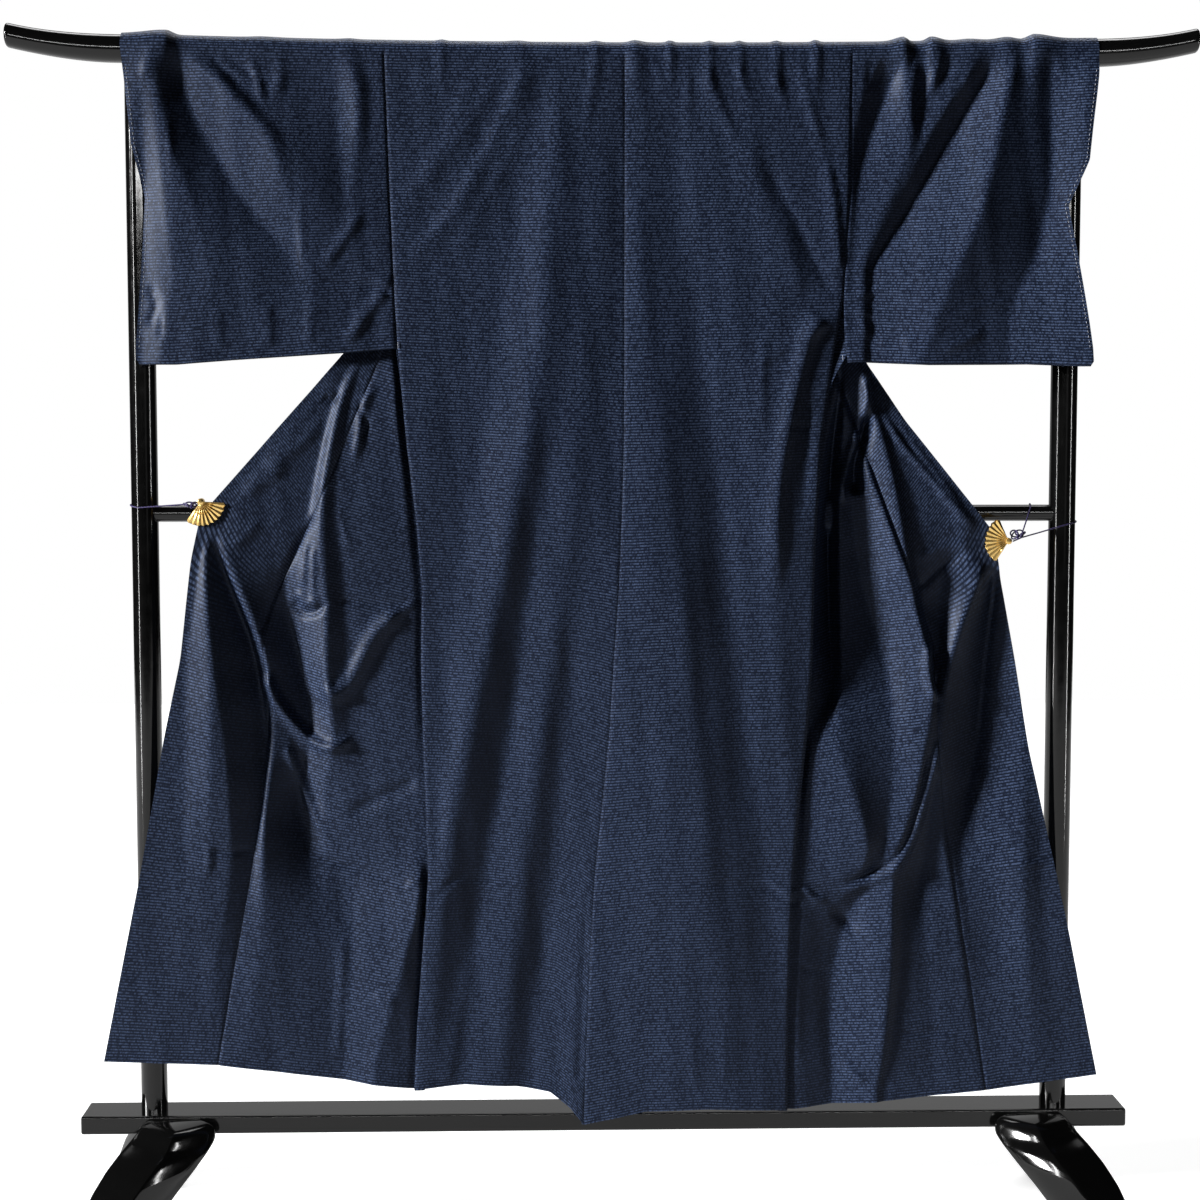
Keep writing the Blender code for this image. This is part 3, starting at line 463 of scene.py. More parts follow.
# cords; their routes are those of the solids
cords = {
    "radius": 0.0010,
    "step": 0.0055,           # from point to point along a straight run
    "knob": {-1: (-0.5748, -0.0396, 1.0180), 1: (0.5628, -0.0399, 0.9655)},     # where each leaves its clip
    "knot": (0.012, 0.002, 0.005),         # from the right knob to where its second strand is tied
    "turn": 3.3,              # radians that a cord goes round a post or the bar
    "turnSteps": 13,
    "meets": 0.27,            # radians past a post's front where the cord meets it
    "onPost": {-1: 1.0125, 1: 0.9885},
    "rise": 0.009,
    "onBar": 143.0,           # degrees where the second strand meets the bar
    "barX": 0.5935,
    "pitch": 0.0012,
}


def tautRoute(points):
    # the points joined by straight runs, with further points at even steps along each long run
    points = np.array(points)
    made = [points[:1]]
    for start, end in zip(points, points[1:]):
        count = max(1, round(float(np.linalg.norm(end - start)) / cords["step"]))
        made.append(start + (end - start) * (np.arange(count)[:, None] + 1) / count)
    return np.round(np.concatenate(made), 4)


def roundPost(side):
    # over a post's front, round its outside and behind it: a circle about its axis, rising evenly
    ring = stand["postRadius"] + cords["radius"] + stand["touch"]
    turn = np.linspace(0.0, cords["turn"], cords["turnSteps"])
    angle = -math.pi / 2 + side * (turn + cords["meets"])
    z = cords["onPost"][side] + cords["rise"] * turn / cords["turn"]
    return np.stack([side * stand["postX"] + ring * np.cos(angle), ring * np.sin(angle), z], axis=-1)


def overBar():
    # over the crossbar from its front: a circle about its axis, moving evenly outwards
    ring = stand["barRadius"] + cords["radius"] + stand["touch"]
    turn = np.linspace(0.0, cords["turn"], cords["turnSteps"])
    angle = math.radians(cords["onBar"]) - turn
    x = cords["barX"] + cords["pitch"] * turn
    return np.stack([x, ring * np.cos(angle), stand["barZ"] + ring * np.sin(angle)], axis=-1)


def makeCord(name, route):
    # a round cord along the route's points, both ends closed
    curve = bpy.data.curves.new(name, "CURVE")
    curve.dimensions = "3D"
    curve.bevel_depth = cords["radius"]
    curve.bevel_resolution = 3
    curve.use_fill_caps = True
    spline = curve.splines.new("POLY")
    spline.points.add(len(route) - 1)
    spline.points.foreach_set("co", np.c_[route, np.ones(len(route))].astype(np.float32).ravel())
    obj = finishPiece(bpy.data.objects.new(name + "_twist", curve), "cord", [name])


knot = np.array(cords["knob"][1]) + cords["knot"]
beside = (0.0, 0.0, 2 * (cords["radius"] + stand["touch"]))
makeCord("cord_left", tautRoute([cords["knob"][-1], *roundPost(-1)]))
makeCord("cord_right", tautRoute([cords["knob"][1], knot, *roundPost(1)]))
makeCord("cord_right_bar", tautRoute([knot + beside, *overBar()]))
print("cords made")


# the garment's measures; a pair named Above or Below is a height and the way over which a change eases in
garment = {
    "onRod": 0.0199,          # rod's axis to the middle of the cloth
    "leanOut": 0.038, "leanBelow": (1.60, 0.62),
    "layerLow": 0.0036, "layerHigh": 0.0085, "layersAbove": (0.25, 0.8), "rodAbove": (1.30, 0.30),
    "seam": 0.0002,           # gap left between two panels
    "seamSteps": (0.0012, 0.0026, 0.0045),    # columns beside a seam, where the cloth dips
    "dip": 0.0012, "dipWidth": 0.0021,
    "allowance": (0.003, 0.0022),          # how far a seam's spare cloth goes under the next piece, and back
    "wall": 0.0010,
    "rows": 330,
    "weaveLong": 1.47,        # shoulder to hem along the weave
    "drape": 0.6,             # share of the long waves' heights that is kept
    "foldsBelow": (1.640, 0.05),
    "gathersAbove": (1.55, 0.08),
    "looseAbove": (1.30, 0.15),            # the far layer hangs unfolded up here
    "riseAbove": (1.2, 0.4),
    "underarm": {-1: 0.002, 1: 0.021},   # how far a front's cloth shows beside the back under the sleeve
    "underarmAt": (1.238, 0.040),
    "hemSide": {-1: 0.200, 1: 0.167}, "hemCentre": 0.150,
    "backCut": (0.30, 1.50), "frontCut": (0.30, 1.50), "sleeveCut": (0.37, 0.90), "collarCut": (0.058, 1.80),
    "okumiCut": (0.155, 1.30, 0.160),
}
# heights, and where the side seams and the centre seam stand at each of them
levels = (1.66, 1.45, 1.30, 1.22, 1.10, 1.00, 0.90, 0.80, 0.70, 0.60, 0.50, 0.40, 0.30, 0.20, 0.10)
sideSeams = {
    -1: (-0.304, -0.297, -0.290, -0.285, -0.274, -0.262, -0.254, -0.256, -0.254, -0.251,
         -0.248, -0.256, -0.264, -0.269, -0.272),
    1: (0.337, 0.335, 0.325, 0.311, 0.294, 0.288, 0.285, 0.283, 0.277, 0.267,
        0.259, 0.255, 0.253, 0.253, 0.253),
}
centreSeam = (0.025, 0.025, 0.024, 0.024, 0.023, 0.020, 0.016, 0.009, 0.003, -0.007,
              -0.017, -0.023, -0.027, -0.031, -0.034)
# rows: share of the width from side seam to centre, and how far the hem rises there
hemLift = {
    -1: ((0.0, 0.0), (0.3, 0.022), (0.6, 0.034), (0.8, 0.036), (0.92, 0.020), (1.0, 0.0)),
    1: ((0.0, 0.0), (0.4, 0.012), (0.7, 0.014), (1.0, 0.0)),
}
# a front's inner edge from the neck down: the collar's seam, then the okumi's; x and z
frontEdge = {
    -1: ((-0.068, 1.629), (-0.213, 1.427), (-0.310, 1.220), (-0.397, 1.013), (-0.452, 0.905),
         (-0.476, 0.832), (-0.467, 0.745), (-0.477, 0.610), (-0.494, 0.512), (-0.514, 0.400),
         (-0.542, 0.237)),
    1: ((0.118, 1.629), (0.241, 1.412), (0.325, 1.180), (0.405, 0.960), (0.434, 0.885),
        (0.460, 0.809), (0.457, 0.719), (0.470, 0.601), (0.490, 0.461), (0.509, 0.350), (0.534, 0.193)),
}
# the okumi's slanted edge under the collar from its tip to the clip, and its free edge below; x and z
slant = {
    -1: ((-0.213, 1.427), (-0.361, 1.223), (-0.557, 1.002)),
    1: ((0.241, 1.412), (0.358, 1.212), (0.411, 1.133), (0.534, 0.980)),
}
freeEdge = {
    -1: ((-0.557, 1.002), (-0.571, 0.942), (-0.587, 0.805), (-0.611, 0.694), (-0.646, 0.506),
         (-0.700, 0.243)),
    1: ((0.534, 0.980), (0.553, 0.885), (0.569, 0.801), (0.589, 0.675), (0.613, 0.568), (0.648, 0.413),
        (0.690, 0.214)),
}
# rows: height, and how far a front goes in behind the back there before it turns outwards
tuck = {
    -1: ((1.63, 0.248), (1.58, 0.232), (1.485, 0.195), (1.39, 0.164), (1.22, 0.140), (1.00, 0.062),
         (0.80, 0.050), (0.50, 0.024), (0.15, 0.012)),
    1: ((1.63, 0.231), (1.58, 0.218), (1.482, 0.188), (1.382, 0.162), (1.22, 0.150), (1.00, 0.080),
        (0.80, 0.060), (0.50, 0.024), (0.15, 0.012)),
}
# rows: height, and how far the cloth rolls up beside the okumi's seam there
roll = {
    -1: ((1.30, 0.0), (0.96, 0.0)),
    1: ((1.30, 0.0), (1.18, 0.005), (1.05, 0.006), (0.93, 0.006), (0.90, 0.0)),
}
# little gathers that lift the cloth off the rod: x, half width left and right of it, height
gathers = (
    (-0.600, 0.042, 0.011, 0.0065), (-0.470, 0.020, 0.026, 0.0012), (-0.350, 0.014, 0.010, 0.0012),
    (-0.225, 0.006, 0.006, 0.0018), (-0.120, 0.016, 0.010, 0.0014), (-0.015, 0.006, 0.008, 0.0020),
    (0.039, 0.009, 0.012, 0.0030), (0.087, 0.005, 0.006, 0.0028), (0.141, 0.005, 0.006, 0.0024),
    (0.182, 0.005, 0.006, 0.0024), (0.233, 0.005, 0.006, 0.0024), (0.287, 0.005, 0.006, 0.0030),
    (0.409, 0.016, 0.006, 0.0060), (0.447, 0.008, 0.016, 0.0058), (0.500, 0.018, 0.018, 0.0020),
    (0.552, 0.018, 0.014, 0.0036), (0.589, 0.010, 0.030, 0.0068),
)
# rows: height, and x of a sleeve's inner edge and of its cuff; then x and the height of its bottom
sleeveIn = {
    -1: ((1.66, -0.304), (1.45, -0.297), (1.30, -0.290), (1.22, -0.287)),
    1: ((1.66, 0.337), (1.45, 0.335), (1.30, 0.325), (1.25, 0.326), (1.20, 0.331)),
}
sleeveOut = {
    -1: ((1.66, -0.663), (1.50, -0.647), (1.43, -0.629), (1.36, -0.633), (1.24, -0.641), (1.216, -0.6415),
         (1.2085, -0.6365)),
    1: ((1.66, 0.678), (1.60, 0.674), (1.48, 0.659), (1.42, 0.631), (1.36, 0.641), (1.23, 0.661),
        (1.212, 0.662), (1.2065, 0.658)),
}
sleeveBottom = {
    -1: ((-0.64, 1.208), (-0.61, 1.208), (-0.53, 1.214), (-0.36, 1.225), (-0.28, 1.232)),
    1: ((0.32, 1.211), (0.36, 1.212), (0.45, 1.208), (0.59, 1.209), (0.66, 1.206)),
}

# Planes of the big folds, as lines down the cloth from left to right. Columns: x, z and height in mm
# towards the viewer; between two lines the cloth is a plane, with a rounded corner at each line
backLines = (
    ((-0.295, 1.641, 0), (-0.291, 1.429, 0), (-0.283, 1.227, 0), (-0.272, 1.092, 0),
     (-0.262, 0.956, 0), (-0.253, 0.818, 0), (-0.252, 0.610, 0), (-0.256, 0.400, 0),
     (-0.264, 0.202, 0)),
    ((-0.084, 1.642, 0), (-0.098, 1.562, 0), (-0.121, 1.429, -1), (-0.146, 1.295, -2),
     (-0.160, 1.160, -3), (-0.188, 1.024, -3), (-0.213, 0.887, -2), (-0.225, 0.749, -1),
     (-0.234, 0.610, 0), (-0.243, 0.470, 0), (-0.251, 0.329, 0), (-0.257, 0.201, 0)),
    ((-0.064, 1.642, 1), (-0.068, 1.563, 4), (-0.076, 1.429, 7), (-0.085, 1.295, 9),
     (-0.097, 1.160, 10), (-0.125, 1.024, 11), (-0.151, 0.887, 10), (-0.181, 0.749, 10),
     (-0.209, 0.610, 8), (-0.232, 0.470, 4), (-0.245, 0.329, 1), (-0.251, 0.201, 0)),
    ((-0.031, 1.642, 0), (-0.034, 1.563, 2), (-0.037, 1.429, 4), (-0.045, 1.295, 5),
     (-0.064, 1.160, 6), (-0.091, 1.024, 4), (-0.113, 0.887, -1), (-0.131, 0.749, -5),
     (-0.155, 0.610, -8), (-0.176, 0.470, -10), (-0.202, 0.329, -9), (-0.219, 0.201, -6)),
    ((-0.010, 1.642, 0), (-0.013, 1.563, 1.5), (-0.017, 1.429, 3), (-0.021, 1.295, 4),
     (-0.029, 1.160, 6), (-0.048, 1.024, 8), (-0.063, 0.887, 6), (-0.083, 0.749, 4),
     (-0.103, 0.610, 2), (-0.118, 0.469, -2), (-0.135, 0.328, -3), (-0.150, 0.201, -1)),
    ((0.006, 1.642, 0), (0.004, 1.563, 1), (0.001, 1.430, 2), (-0.002, 1.295, 3), (-0.010, 1.160, 4),
     (-0.025, 1.024, 6), (-0.039, 0.887, 4), (-0.055, 0.748, -2), (-0.067, 0.609, -6),
     (-0.079, 0.469, -11), (-0.099, 0.328, -12), (-0.113, 0.200, -8)),
    ((0.021, 1.642, -1), (0.021, 1.563, -1), (0.021, 1.430, -1), (0.021, 1.295, 0), (0.019, 1.160, 2),
     (0.012, 1.024, 4), (-0.003, 0.887, 6), (-0.013, 0.748, 2), (-0.021, 0.609, 0),
     (-0.029, 0.469, -2), (-0.038, 0.328, -2), (-0.045, 0.200, 0)),
    ((0.045, 1.643, 1), (0.045, 1.563, 2), (0.047, 1.430, 2.5), (0.049, 1.295, 4), (0.051, 1.160, 6),
     (0.056, 1.024, 9), (0.066, 0.886, 12), (0.073, 0.748, 12), (0.084, 0.609, 12), (0.094, 0.468, 11),
     (0.106, 0.327, 9), (0.116, 0.198, 7)),
    ((0.057, 1.643, 0), (0.060, 1.563, 0), (0.065, 1.430, 0), (0.072, 1.295, 2), (0.079, 1.160, 5),
     (0.090, 1.024, 8), (0.106, 0.886, 12), (0.114, 0.748, 13), (0.126, 0.608, 13), (0.137, 0.468, 12),
     (0.158, 0.326, 9), (0.179, 0.198, 6)),
    ((0.076, 1.643, 0), (0.085, 1.563, -1), (0.098, 1.430, -2), (0.118, 1.295, -2), (0.138, 1.160, -3),
     (0.152, 1.024, -3), (0.166, 0.886, -1), (0.183, 0.748, 0), (0.206, 0.608, 0), (0.227, 0.467, 0),
     (0.246, 0.326, 0), (0.256, 0.197, 0)),
    ((0.111, 1.643, 0), (0.132, 1.563, 1), (0.147, 1.430, 2), (0.177, 1.296, 3), (0.200, 1.160, 4),
     (0.219, 1.024, 4), (0.232, 0.886, 5), (0.244, 0.748, 4), (0.255, 0.608, 3), (0.260, 0.467, 2),
     (0.261, 0.326, 1), (0.265, 0.197, 0)),
    ((0.328, 1.644, 0), (0.329, 1.430, 0), (0.320, 1.255, 0), (0.308, 1.133, 0), (0.291, 0.955, 0),
     (0.283, 0.817, 0), (0.275, 0.678, 0), (0.268, 0.538, 0), (0.265, 0.397, 0), (0.268, 0.197, 0)),
)
sleeveLines = {
    -1: (
        ((-0.660, 1.644, -1), (-0.645, 1.578, -3), (-0.638, 1.524, -5), (-0.633, 1.458, -7),
         (-0.632, 1.350, -7), (-0.635, 1.235, -5), (-0.635, 1.208, -5)),
        ((-0.639, 1.631, 0), (-0.622, 1.591, 3), (-0.615, 1.551, 5), (-0.609, 1.498, 6),
         (-0.601, 1.431, 7), (-0.593, 1.364, 8), (-0.589, 1.323, 8), (-0.598, 1.269, 7),
         (-0.607, 1.212, 5)),
        ((-0.615, 1.631, 1), (-0.609, 1.565, 5), (-0.598, 1.511, 7), (-0.567, 1.431, 10),
         (-0.547, 1.364, 11), (-0.534, 1.323, 12), (-0.549, 1.269, 9), (-0.556, 1.212, 7)),
        ((-0.591, 1.638, -5), (-0.581, 1.578, -7), (-0.556, 1.525, -6), (-0.499, 1.431, -4),
         (-0.459, 1.384, -1), (-0.429, 1.348, 2), (-0.425, 1.296, 5), (-0.423, 1.212, 4)),
        ((-0.582, 1.638, -1), (-0.531, 1.592, 8), (-0.497, 1.558, 11), (-0.465, 1.525, 14),
         (-0.447, 1.485, 14), (-0.431, 1.431, 11), (-0.414, 1.377, 6), (-0.408, 1.348, 5),
         (-0.403, 1.296, 6), (-0.398, 1.212, 5)),
        ((-0.555, 1.642, -3), (-0.510, 1.592, 1), (-0.477, 1.558, 4), (-0.448, 1.525, 8),
         (-0.420, 1.485, 10), (-0.388, 1.431, 9), (-0.383, 1.377, 5), (-0.380, 1.348, 4),
         (-0.378, 1.296, 4), (-0.374, 1.212, 3)),
        ((-0.375, 1.646, -2), (-0.370, 1.592, -3), (-0.368, 1.539, -3), (-0.365, 1.499, 0),
         (-0.359, 1.458, 3), (-0.355, 1.405, 4), (-0.351, 1.317, 2), (-0.349, 1.228, 1)),
        ((-0.355, 1.646, 1), (-0.339, 1.586, 5), (-0.338, 1.539, 5), (-0.342, 1.499, 5),
         (-0.345, 1.458, 5), (-0.346, 1.405, 4), (-0.341, 1.317, 2), (-0.337, 1.228, 2)),
        ((-0.340, 1.646, -1), (-0.321, 1.586, 0), (-0.322, 1.539, 0), (-0.325, 1.499, 1),
         (-0.328, 1.458, 2), (-0.330, 1.405, 2), (-0.325, 1.317, 1), (-0.320, 1.228, 1)),
        ((-0.296, 1.646, 0), (-0.293, 1.432, 0), (-0.287, 1.229, 0)),
    ),
    1: (
        ((0.338, 1.649, 0), (0.336, 1.568, 0), (0.332, 1.433, 0), (0.328, 1.297, 0), (0.324, 1.222, 0)),
        ((0.409, 1.647, -7), (0.403, 1.622, -9), (0.375, 1.555, -9), (0.356, 1.501, -7),
         (0.347, 1.474, -5), (0.343, 1.433, -3), (0.338, 1.352, -2), (0.335, 1.222, 0)),
        ((0.419, 1.647, 0), (0.421, 1.609, 4), (0.416, 1.555, 5), (0.418, 1.515, 4), (0.409, 1.481, 3),
         (0.391, 1.440, 2), (0.368, 1.393, 1), (0.351, 1.349, 0), (0.344, 1.222, 1)),
        ((0.434, 1.647, -3), (0.436, 1.609, -3), (0.431, 1.555, -2), (0.432, 1.515, 1), (0.421, 1.481, 2),
         (0.399, 1.440, 1), (0.375, 1.393, 0), (0.356, 1.349, -1), (0.351, 1.222, 1)),
        ((0.516, 1.647, 0), (0.512, 1.630, 1), (0.486, 1.582, 3), (0.463, 1.553, 3), (0.440, 1.515, 2),
         (0.428, 1.481, 1), (0.406, 1.440, 0), (0.381, 1.393, -1), (0.359, 1.349, -1), (0.355, 1.222, 1)),
        ((0.542, 1.647, -5), (0.532, 1.623, -6), (0.504, 1.569, -7), (0.477, 1.522, -8),
         (0.443, 1.468, -8), (0.411, 1.413, -8), (0.378, 1.366, -7), (0.356, 1.332, -5),
         (0.358, 1.222, -3)),
        ((0.564, 1.643, 0), (0.557, 1.610, 6), (0.546, 1.569, 11), (0.536, 1.522, 16), (0.526, 1.475, 20),
         (0.510, 1.414, 22), (0.490, 1.366, 22), (0.472, 1.325, 20), (0.446, 1.263, 15),
         (0.430, 1.220, 12)),
        ((0.606, 1.643, -6), (0.611, 1.569, 0), (0.612, 1.502, 3), (0.609, 1.434, 5), (0.591, 1.359, 6),
         (0.559, 1.298, 6), (0.551, 1.257, 6), (0.549, 1.220, 5)),
        ((0.658, 1.640, 4), (0.656, 1.570, 14), (0.655, 1.475, 19), (0.654, 1.380, 24), (0.655, 1.312, 27),
         (0.654, 1.264, 27), (0.654, 1.223, 24)),
    ),
}
frontLines = {
    -1: (
        ((-0.357, 1.221, 0), (-0.516, 1.024, 0), (-0.550, 0.988, 0), (-0.565, 0.942, 0),
         (-0.572, 0.887, 0), (-0.596, 0.749, 0), (-0.620, 0.610, 0), (-0.650, 0.470, 0),
         (-0.696, 0.237, 0)),
        ((-0.356, 1.221, 0), (-0.514, 1.024, 0), (-0.549, 0.988, 0), (-0.559, 0.942, 0),
         (-0.567, 0.887, 0), (-0.579, 0.818, 0), (-0.583, 0.749, 0), (-0.582, 0.679, 0),
         (-0.582, 0.609, 0), (-0.582, 0.539, 0), (-0.592, 0.469, 0), (-0.638, 0.236, 0)),
        ((-0.355, 1.221, 0), (-0.514, 1.024, 0.5), (-0.548, 0.988, 2), (-0.552, 0.942, 7),
         (-0.550, 0.887, 9), (-0.546, 0.818, 12), (-0.544, 0.748, 14), (-0.545, 0.679, 13),
         (-0.548, 0.609, 10), (-0.550, 0.539, 5), (-0.558, 0.469, 2), (-0.596, 0.236, 0)),
        ((-0.354, 1.221, 0), (-0.513, 1.024, 1), (-0.547, 0.988, 3), (-0.551, 0.942, 8),
         (-0.549, 0.887, 10), (-0.542, 0.818, 12), (-0.532, 0.748, 13), (-0.523, 0.679, 11),
         (-0.520, 0.609, 9), (-0.520, 0.539, 5), (-0.526, 0.469, 3), (-0.572, 0.236, 0)),
        ((-0.352, 1.221, 0), (-0.510, 1.024, 0), (-0.544, 0.988, -1), (-0.533, 0.942, -8),
         (-0.514, 0.887, -15), (-0.492, 0.831, -20), (-0.480, 0.762, -23), (-0.474, 0.693, -22),
         (-0.477, 0.623, -14), (-0.489, 0.539, -7), (-0.500, 0.469, -3), (-0.546, 0.235, 0)),
        ((-0.349, 1.221, 0), (-0.508, 1.024, 1), (-0.539, 0.988, 4), (-0.521, 0.942, 6),
         (-0.500, 0.887, 6), (-0.487, 0.859, 6), (-0.473, 0.817, 2), (-0.462, 0.762, -6),
         (-0.460, 0.693, -10), (-0.469, 0.637, -1), (-0.475, 0.581, 2), (-0.477, 0.539, 3),
         (-0.479, 0.469, 3), (-0.480, 0.398, 3), (-0.495, 0.313, 2), (-0.513, 0.235, 1.5)),
        ((-0.348, 1.221, 0), (-0.373, 1.167, -2), (-0.390, 1.106, -4), (-0.404, 1.037, -5),
         (-0.410, 1.002, -5), (-0.432, 0.941, -7), (-0.449, 0.900, -13), (-0.441, 0.859, -21),
         (-0.428, 0.804, -23), (-0.416, 0.762, -21), (-0.407, 0.720, -17), (-0.413, 0.678, -16),
         (-0.433, 0.637, -25), (-0.429, 0.595, -28), (-0.424, 0.560, -26), (-0.415, 0.525, -18),
         (-0.406, 0.468, -9), (-0.399, 0.398, -4), (-0.393, 0.234, -3)),
        ((-0.337, 1.221, 1), (-0.362, 1.167, 6), (-0.377, 1.106, 9), (-0.390, 1.037, 11),
         (-0.392, 0.969, 12), (-0.387, 0.914, 13), (-0.385, 0.859, 13), (-0.387, 0.803, 13),
         (-0.385, 0.762, 12), (-0.380, 0.727, 6), (-0.377, 0.678, 0), (-0.394, 0.623, -10),
         (-0.393, 0.581, -12), (-0.386, 0.538, -13), (-0.376, 0.510, -15), (-0.371, 0.468, -13),
         (-0.369, 0.397, -6), (-0.366, 0.234, -4)),
        ((-0.329, 1.221, 0), (-0.351, 1.167, 1), (-0.365, 1.106, 3), (-0.374, 1.037, 5),
         (-0.370, 0.969, 6), (-0.364, 0.914, 6), (-0.361, 0.859, 5), (-0.360, 0.803, 3),
         (-0.357, 0.748, 0), (-0.354, 0.678, -2), (-0.353, 0.608, -5), (-0.354, 0.538, -9),
         (-0.353, 0.507, -13), (-0.352, 0.468, -11), (-0.356, 0.326, -3), (-0.357, 0.234, -2)),
        ((-0.293, 1.221, 4), (-0.288, 1.160, 5), (-0.278, 1.024, 4), (-0.266, 0.886, 3),
         (-0.261, 0.748, 2), (-0.262, 0.608, 0), (-0.260, 0.538, -1), (-0.258, 0.512, 0),
         (-0.257, 0.489, 12), (-0.259, 0.460, 13), (-0.279, 0.397, 10), (-0.297, 0.326, 10),
         (-0.326, 0.234, 8)),
        ((-0.284, 1.221, 0), (-0.279, 1.160, 0), (-0.267, 1.024, 0), (-0.255, 0.886, 0),
         (-0.251, 0.748, 0), (-0.251, 0.538, 0), (-0.253, 0.233, 0)),
    ),
    1: (
        ((0.320, 1.222, 0), (0.315, 1.160, 0), (0.301, 1.092, 0), (0.291, 1.023, 0), (0.286, 0.940, 0),
         (0.284, 0.857, 0), (0.281, 0.815, 0), (0.274, 0.746, 0), (0.271, 0.676, 0), (0.267, 0.535, 0),
         (0.262, 0.393, 0), (0.255, 0.208, 0)),
        ((0.325, 1.222, -2), (0.320, 1.160, -12), (0.314, 1.092, -30), (0.312, 1.023, -42),
         (0.312, 0.940, -50), (0.314, 0.857, -48), (0.318, 0.801, -38), (0.318, 0.760, -20),
         (0.304, 0.734, -6), (0.285, 0.711, 2), (0.277, 0.676, 5), (0.274, 0.535, 5), (0.268, 0.393, 4),
         (0.262, 0.208, 3)),
        ((0.331, 1.222, 0), (0.328, 1.160, -3), (0.323, 1.092, -10), (0.321, 1.023, -12),
         (0.322, 0.940, -13), (0.324, 0.857, -13), (0.326, 0.801, -12), (0.325, 0.760, -6),
         (0.321, 0.720, 6), (0.319, 0.683, 14), (0.332, 0.640, 17), (0.347, 0.605, 18), (0.359, 0.563, 19),
         (0.368, 0.528, 15), (0.340, 0.492, 6), (0.323, 0.464, 0), (0.301, 0.422, -4), (0.288, 0.322, -3),
         (0.283, 0.207, 0)),
        ((0.336, 1.222, 0), (0.337, 1.160, -4), (0.334, 1.092, -12), (0.338, 1.023, -18),
         (0.350, 0.940, -21), (0.361, 0.885, -21), (0.379, 0.829, -19), (0.393, 0.773, -13),
         (0.396, 0.717, 0), (0.398, 0.675, 3), (0.399, 0.619, 5), (0.390, 0.577, 7), (0.382, 0.535, 6),
         (0.365, 0.492, 2), (0.343, 0.457, -6), (0.324, 0.407, -9), (0.311, 0.322, -9), (0.317, 0.207, -7)),
        ((0.344, 1.222, 1), (0.359, 1.160, 5), (0.376, 1.119, 8), (0.387, 1.078, 10), (0.400, 1.023, 13),
         (0.411, 0.954, 15), (0.418, 0.912, 15), (0.428, 0.871, 14), (0.440, 0.829, 14),
         (0.450, 0.787, 16), (0.452, 0.745, 17), (0.439, 0.675, 15), (0.428, 0.605, 14),
         (0.415, 0.556, 13), (0.400, 0.517, 12), (0.396, 0.464, 13), (0.397, 0.421, 14),
         (0.395, 0.350, 14), (0.387, 0.264, 14), (0.377, 0.199, 11)),
        ((0.350, 1.222, 0), (0.370, 1.160, 1), (0.387, 1.119, 3), (0.398, 1.078, 4), (0.411, 1.023, 5),
         (0.422, 0.954, 5), (0.429, 0.912, 2), (0.439, 0.878, -7), (0.452, 0.829, -10), (0.460, 0.787, -2),
         (0.458, 0.745, 13), (0.453, 0.675, 8), (0.442, 0.605, 5), (0.429, 0.555, 5), (0.413, 0.517, 3),
         (0.410, 0.464, 3), (0.411, 0.421, 4), (0.409, 0.350, 5), (0.398, 0.264, 6), (0.388, 0.199, 6)),
        ((0.361, 1.222, 0), (0.403, 1.119, 1), (0.453, 1.037, 3), (0.481, 0.988, 3), (0.485, 0.961, 0),
         (0.475, 0.937, -5), (0.460, 0.898, -11), (0.460, 0.857, -15), (0.464, 0.822, -10),
         (0.465, 0.787, 0), (0.462, 0.745, 12), (0.458, 0.675, 8), (0.452, 0.605, 1), (0.447, 0.555, -4),
         (0.442, 0.506, -9), (0.431, 0.463, -5), (0.446, 0.421, 0), (0.454, 0.321, 2), (0.456, 0.199, 2)),
        ((0.364, 1.222, 0), (0.410, 1.119, 2), (0.473, 1.037, 5), (0.505, 0.988, 6), (0.522, 0.961, 8),
         (0.525, 0.940, 9), (0.510, 0.898, 10), (0.492, 0.857, 11), (0.479, 0.815, 10), (0.470, 0.773, 10),
         (0.466, 0.745, 11), (0.464, 0.675, 8), (0.462, 0.605, 2), (0.468, 0.562, -3), (0.480, 0.492, 0),
         (0.493, 0.392, 1), (0.508, 0.306, 1), (0.525, 0.198, 1)),
        ((0.366, 1.222, 0), (0.414, 1.119, 1), (0.480, 1.037, 2), (0.518, 0.988, 2), (0.533, 0.961, 0),
         (0.539, 0.937, -9), (0.541, 0.898, -21), (0.537, 0.857, -28), (0.532, 0.815, -31),
         (0.527, 0.745, -33), (0.521, 0.675, -31), (0.504, 0.605, -22), (0.495, 0.548, -12),
         (0.499, 0.491, -5), (0.513, 0.392, -2), (0.541, 0.198, 0)),
        ((0.369, 1.222, 0), (0.417, 1.119, 1), (0.483, 1.037, 2), (0.523, 0.988, 2), (0.537, 0.961, 0),
         (0.543, 0.937, -6), (0.546, 0.898, -14), (0.545, 0.857, -18), (0.543, 0.815, -20),
         (0.540, 0.745, -21), (0.535, 0.675, -18), (0.529, 0.604, -12), (0.533, 0.534, -5),
         (0.543, 0.463, -2), (0.552, 0.392, -2), (0.561, 0.277, -1), (0.566, 0.198, 0)),
        ((0.375, 1.222, 0), (0.424, 1.119, 1), (0.490, 1.037, 2), (0.530, 0.988, 2), (0.545, 0.961, 0),
         (0.550, 0.937, -4), (0.556, 0.898, -6), (0.562, 0.857, -8), (0.567, 0.815, -9),
         (0.576, 0.745, -8), (0.582, 0.675, -5), (0.580, 0.604, 2), (0.581, 0.533, 7), (0.582, 0.463, 8),
         (0.589, 0.391, 7), (0.596, 0.277, 2), (0.598, 0.198, 0)),
        ((0.380, 1.222, 0), (0.431, 1.119, 1), (0.496, 1.037, 2), (0.535, 0.988, 2), (0.549, 0.961, 0),
